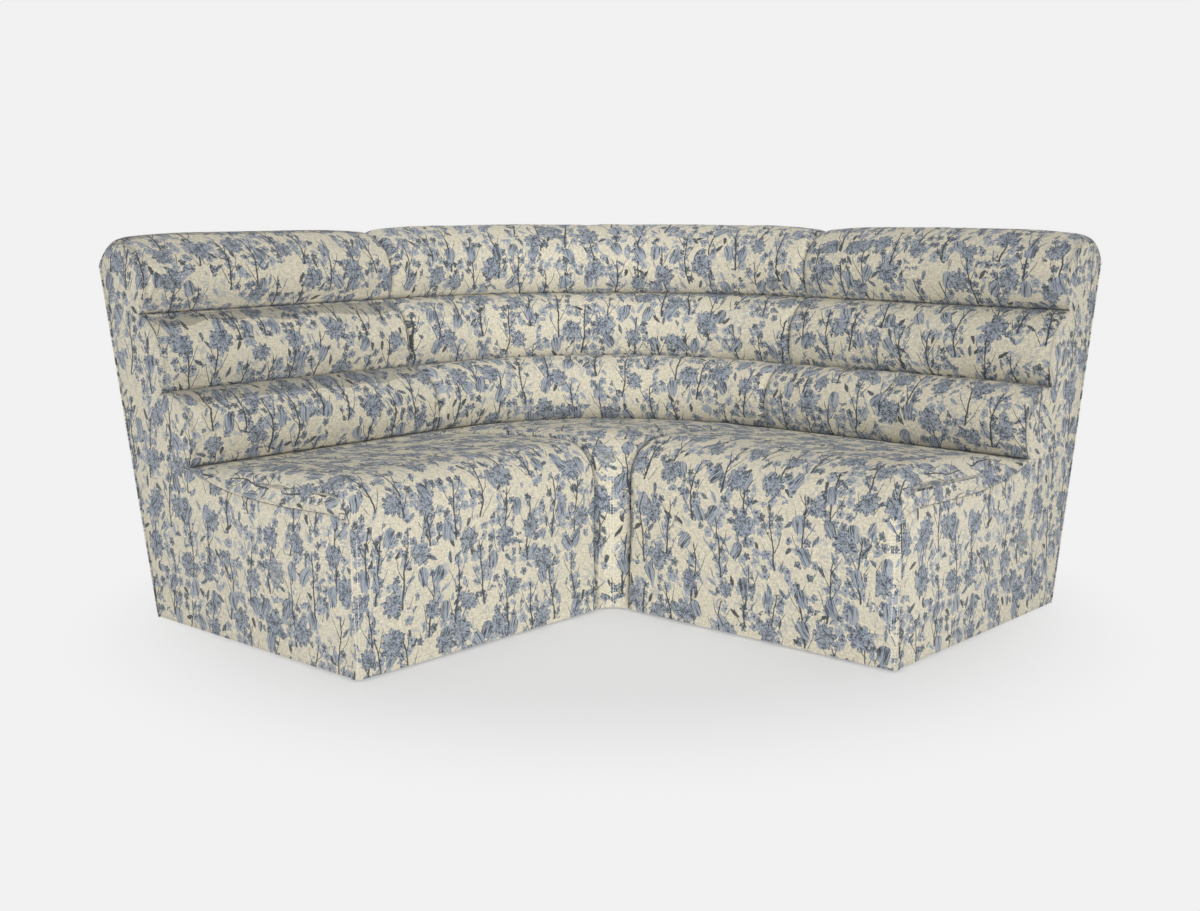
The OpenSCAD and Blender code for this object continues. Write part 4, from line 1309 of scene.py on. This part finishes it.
class SOFA_OT_outside_backs(bpy.types.Operator):
    """Makes the covered boards of the outside back"""
    bl_idname = "sofa.outside_backs"
    bl_label = "Outside backs"

    def execute(self, context):
        near, margin, thick = np.array([0.0003, 0.0012, 0.003, 0.006, 0.012, 0.024]), 0.05, 0.0095
        for module in modules(context):
            base, edge = module.s.base_height, module.s.back_edge
            stations = spread(near, margin, 40 if module.round else 24, 0.0, module.length)
            heights = spread(near, margin, 24, base, edge)
            outside = module.outline.outside(heights)
            outer, inner = [], []
            for u in stations:
                away = np.minimum(min(u, module.length - u), np.minimum(heights - base, edge - heights))
                sink = sewn(away, turn=0.004, dip=0.0010, reach=0.04)
                outer.append(module.place(u, np.stack([outside - sink, heights], 1)))
                inner.append(module.place(u, np.stack([outside - thick, heights], 1)))
            across = -stations if module.name == "right" else stations
            chart = np.stack(np.meshgrid(across, heights / math.cos(module.s.back_lean), indexing="ij"), 2)
            chart += [5.2 + 0.7 * module.number, 0.4]
            obj = shell(f"{module.name}_outside_back_panel", np.array(outer), np.array(inner), chart)
            dress(obj, printed_linen, module, "upholstery", "outside_back_cover")
        return {"FINISHED"}


class SOFA_OT_underside_cloths(bpy.types.Operator):
    """Makes the thin cloths that close the bottom of the modules"""
    bl_idname = "sofa.underside_cloths"
    bl_label = "Underside cloths"

    def execute(self, context):
        thick, hem, sag, lift, room = 0.0008, 0.0106, 0.0010, 0.0018, 0.0008
        for module in modules(context):
            base, length = module.s.base_height, module.length
            z, rear = base + lift, module.outline.outside(base) - hem
            margin = module.outline.up.end_cover + room
            stations = np.linspace(margin, length - margin, 31)
            if module.round:
                clear = margin * 14
                stations = [(u, 0.0) for u in np.linspace(0, length, 41) if clear < u < length - clear]
                stations = [(0.0, margin), *stations, (length, margin)]
            depths = np.linspace(hem, rear, 31)
            lower = []
            for i, u in enumerate(stations):
                low = sag * math.sin(math.pi * (i / (len(stations) - 1))) \
                    * np.sin(math.pi * (depths - hem) / (rear - hem))
                lower.append(module.place(u, np.stack([depths, z - thick - low], 1)))
            lower = np.array(lower)
            obj = shell(f"{module.name}_underside_cloth", lower, lower + [0, 0, thick])
            dress(obj, spunbond_lining, module, "lining", "dust_cover")
            low, high = lower.reshape(-1, 3).min(0), lower.reshape(-1, 3).max(0)
        return {"FINISHED"}


class SOFA_OT_seat_straps(bpy.types.Operator):
    """Weaves the seat webbing, front to back and side to side"""
    bl_idname = "sofa.seat_straps"
    bl_label = "Seat straps"

    def execute(self, context):
        for module in modules(context):
            points, faces, maps = [], [], []
            for line, side in self.round_straps(module) if module.round else self.wing_straps(module):
                self.ribbon(line, side, module.outline.up, points, faces, maps)
            obj = make_mesh(f"{module.name}_seat_straps", points, faces, maps, 40)
            dress(obj, webbing_strap, module, "webbing", "seat_webbing")
        return {"FINISHED"}

    def ribbon(self, line, side, up, points, faces, maps):
        """One flat strap along a line of points, with its own thickness."""
        run = rows_length(line, 0)
        half, thick = up.strap_width / 2, up.strap / 2
        marks = [(-half, -thick * 0.5), (-half * 0.97, -thick), (half * 0.97, -thick), (half, -thick * 0.5),
                 (half, thick * 0.5), (half * 0.97, thick), (-half * 0.97, thick), (-half, thick * 0.5)]
        tube([[p + side * a + (0, 0, b) for a, b in marks] for p in line], points, faces)
        for start, end in zip(run[:-1], run[1:]):
            for k in range(8):
                u0, u1 = marks[k][0], marks[(k + 1) % 8][0]
                maps += [(u0, start), (u1, start), (u1, end), (u0, end)]
        maps += [(0.0, 0.0)] * 16

    def spaced(self, start, end, count):
        """Places of the middles of straps spaced evenly between two ends."""
        return [start + (end - start) * (i + 0.5) / count for i in range(count)]

    def weave(self, module, crossings, first, ends, cross):
        """Points (run, height) of a strap that goes over and under at its crossings."""
        s, up = module.s, module.outline.up
        wave, middle, step = 0.0014, 0.0031, 0.003
        level = s.deck + up.strap / 2 + 0.0001 + (step if cross else 0.0)
        lift = -wave if cross else wave
        levels = [s.deck + middle + lift * (-1) ** (first + k) for k in range(len(crossings))]
        marks = np.array([ends[0], *crossings, ends[1]])
        z = np.array([level, *levels, level])
        run = np.linspace(*ends, 97)
        place = np.clip(np.searchsorted(marks, run) - 1, 0, len(marks) - 2)
        t = (run - marks[place]) / (marks[place + 1] - marks[place])
        t = (1 - np.cos(np.pi * np.clip(t, 0, 1))) / 2
        return run, z[place] * (1 - t) + z[place + 1] * t

    def wing_straps(self, module):
        """Lines of a straight module's straps, each with the way across it."""
        outline, up = module.outline, module.outline.up
        back = outline.upright(module.s.deck)
        end, panel = up.end_cover + 0.0005, up.end_cover + 0.018
        long_at = self.spaced(panel, module.length - panel, up.straps)
        cross_at = self.spaced(STRAP_FRONT, back - STRAP_REAR, up.cross_straps)
        here, along, behind = [module.place(u, [[d, 0]])[0] for u, d in ((0.0, 0.1), (1.0, 0.1), (0.0, 1.1))]
        parts = []
        for i, u in enumerate(long_at):
            run, z = self.weave(module, cross_at, i, (STRAP_END, back - 0.040), False)
            parts.append((module.place(u, np.stack([run, z], 1)), along - here))
        for j, d in enumerate(cross_at):
            run, z = self.weave(module, long_at, j, (end, module.length - end), True)
            parts.append((module.place(run, np.stack([d + 0 * run, z], 1)), behind - here))
        return parts

    def round_straps(self, module):
        """Lines of the corner's straps, one out from its post and the others across it."""
        outline, up, tip = module.outline, module.outline.up, module.s.tip_radius
        back = tip + outline.upright(module.s.deck)
        half = math.sqrt(0.5)
        out, across, up_way = np.array([-half, half, 0.0]), np.array([half, half, 0.0]), (0, 0, 1)
        centre = np.array([module.axis, -module.axis, 0.0])
        ways = [half * way for way in self.spaced(tip + STRAP_FRONT, back - STRAP_REAR, up.cross_straps)]
        run, z = self.weave(module, ways, 0, (tip + STRAP_END, back - 0.041), False)
        parts = [(centre + np.outer(run, out) + np.outer(z, up_way), across)]
        for j, way in enumerate(ways):
            end = way - up.strap_width / 2 - (up.end_cover + 0.001) * math.sqrt(2)
            run, z = self.weave(module, [0.0], j, (-end, end), True)
            parts.append((centre + out * way + np.outer(run, across) + np.outer(z, up_way), out))
        return parts


class SOFA_OT_topstitching(bpy.types.Operator):
    """Sews the rows of topstitching on the front edges and on the corner's front"""
    bl_idname = "sofa.topstitching"
    bl_label = "Topstitching"

    def execute(self, context):
        for module in modules(context):
            s, up = module.s, module.outline.up
            cover = bpy.data.objects[f"{module.name}_seat_upholstery"]
            top = s.seat_height - s.seat_radius + (0.02 if module.round else -0.02)
            rows = [module.length - off for off in STITCH_ROWS]
            if module.round:
                half = STITCH_GAP / 2 * module.reach / s.tip_radius
                rows = [module.length / 2 - half, module.length / 2 + half]
            points, faces = [], []
            for u in rows:
                line = [self.on_cover(cover, module, u, z) for z in np.arange(STITCH_START, top, 0.001)]
                self.sew(np.array([p for p in line if p is not None]), up, points, faces)
            if not points:
                raise RuntimeError(f"no stitch of the {module.name} module found its cover")
            obj = make_mesh(f"{module.name}_topstitching", points, faces, None, 60)
            dress(obj, stitch_thread, module, "upholstery")
        return {"FINISHED"}

    def on_cover(self, cover, module, u, z):
        """The point of the cover in front of a place on the seat's front."""
        from_front = module.place(u, [[-0.03, z]])[0]
        inward = module.place(u, [[0.05, z]])[0] - from_front
        hit, where, normal, _ = cover.ray_cast(Vector(from_front), Vector(inward).normalized(), distance=0.09)
        return np.array(where) + np.array(normal) * 0.0002 if hit else None

    def sew(self, line, up, points, faces):
        """Stitches as short rounded threads along a line of points."""
        if len(line) < 8:
            return
        run = rows_length(line, 0)
        for begin in np.arange(0, run[-1] - up.stitch, up.stitch):
            marks = begin + up.stitch * np.array([0.06, 0.16, 0.45, 0.74, 0.84])
            spots = np.array([[np.interp(m, run, line[:, a]) for a in range(3)] for m in marks])
            way = unit(spots[-1] - spots[0])
            side = unit(np.cross(way, [0.37, 0.61, 0.70]))
            up_way = np.cross(side, way)
            ring = [side * math.cos(turn) + up_way * math.sin(turn) for turn in np.arange(6) * math.tau / 6]
            widths = (0.35, 0.9, 1.0, 0.9, 0.35)
            tube([[spot + up.thread / 2 * width * p for p in ring] for spot, width in zip(spots, widths)],
                 points, faces)


class SOFA_OT_frame_finishes(bpy.types.Operator):
    """Gives the frame's plywood, steel and nylon pieces their finishes"""
    bl_idname = "sofa.frame_finishes"
    bl_label = "Frame finishes"

    def execute(self, context):
        corner = modules(context)[-1]
        x, y, z, half = (1.0, 0, 0), (0, 1.0, 0), (0, 0, 1.0), math.sqrt(0.5)
        ply = {key: birch_ply(context.scene.sofa_colours, f"birch_ply_{key}", *ways) for key, ways in {
            "through_x": (x, z), "along_y": (x, y), "through_y": (y, z), "along_x": (y, x),
            "diagonal": ((half, half, 0), z), "bent": (z, x, (corner.axis, -corner.axis, 0.7))}.items()}
        sides = {"left": "through_y", "right": "through_x", "corner": "diagonal"}
        boards = {"left": "along_y", "right": "along_x", "corner": "bent"}
        for node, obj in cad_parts.items():
            name, part = node.split("_", 1)
            if part == "glides":
                finish = finish_of(moulded_nylon)
            elif part.startswith("connector"):
                finish = finish_of(zinc_plate)
            elif part.endswith("side_panel"):
                finish = ply[sides[part.split("_")[0] if name == "corner" else name]]
            elif part == "centre_rib":
                finish = ply[sides[name]]
            elif part in ("front_board", "front_post", "seat_rear_rail", "base_rear_rail", "back_rails"):
                finish = ply[boards[name]]
            else:
                continue
            for slot in obj.material_slots:
                slot.material = finish
        return {"FINISHED"}


class SOFA_PT_panel(bpy.types.Panel):
    """Lists the steps that make the sofa"""
    bl_idname = "SOFA_PT_panel"
    bl_label = "Modular Corner Sofa"
    bl_space_type = "VIEW_3D"
    bl_region_type = "UI"
    bl_category = "Sofa"

    def draw(self, context):
        for step in STEPS:
            self.layout.operator(step.bl_idname)
        scene = context.scene
        for group in (scene.sofa_shape, scene.sofa_upholstery, scene.sofa_colours):
            box = self.layout.box()
            for name in group.bl_rna.properties.keys():
                if name not in ("rna_type", "name"):
                    box.prop(group, name)


STEPS = (SOFA_OT_stage, SOFA_OT_seat_covers, SOFA_OT_back_covers, SOFA_OT_pads, SOFA_OT_end_panels,
         SOFA_OT_outside_backs, SOFA_OT_underside_cloths, SOFA_OT_seat_straps, SOFA_OT_topstitching,
         SOFA_OT_frame_finishes)
CLASSES = (SofaShape, SofaUpholstery, SofaColours, *STEPS, SOFA_PT_panel)


def register():
    for cls in CLASSES:
        bpy.utils.register_class(cls)
    bpy.types.Scene.sofa_shape = PointerProperty(type=SofaShape)
    bpy.types.Scene.sofa_upholstery = PointerProperty(type=SofaUpholstery)
    bpy.types.Scene.sofa_colours = PointerProperty(type=SofaColours)


def unregister():
    del bpy.types.Scene.sofa_colours, bpy.types.Scene.sofa_upholstery, bpy.types.Scene.sofa_shape
    for cls in reversed(CLASSES):
        bpy.utils.unregister_class(cls)


def main():
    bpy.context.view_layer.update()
    register()
    for step in STEPS:
        group, name = step.bl_idname.split(".")
        getattr(getattr(bpy.ops, group), name)()


if __name__ == "__main__":
    main()
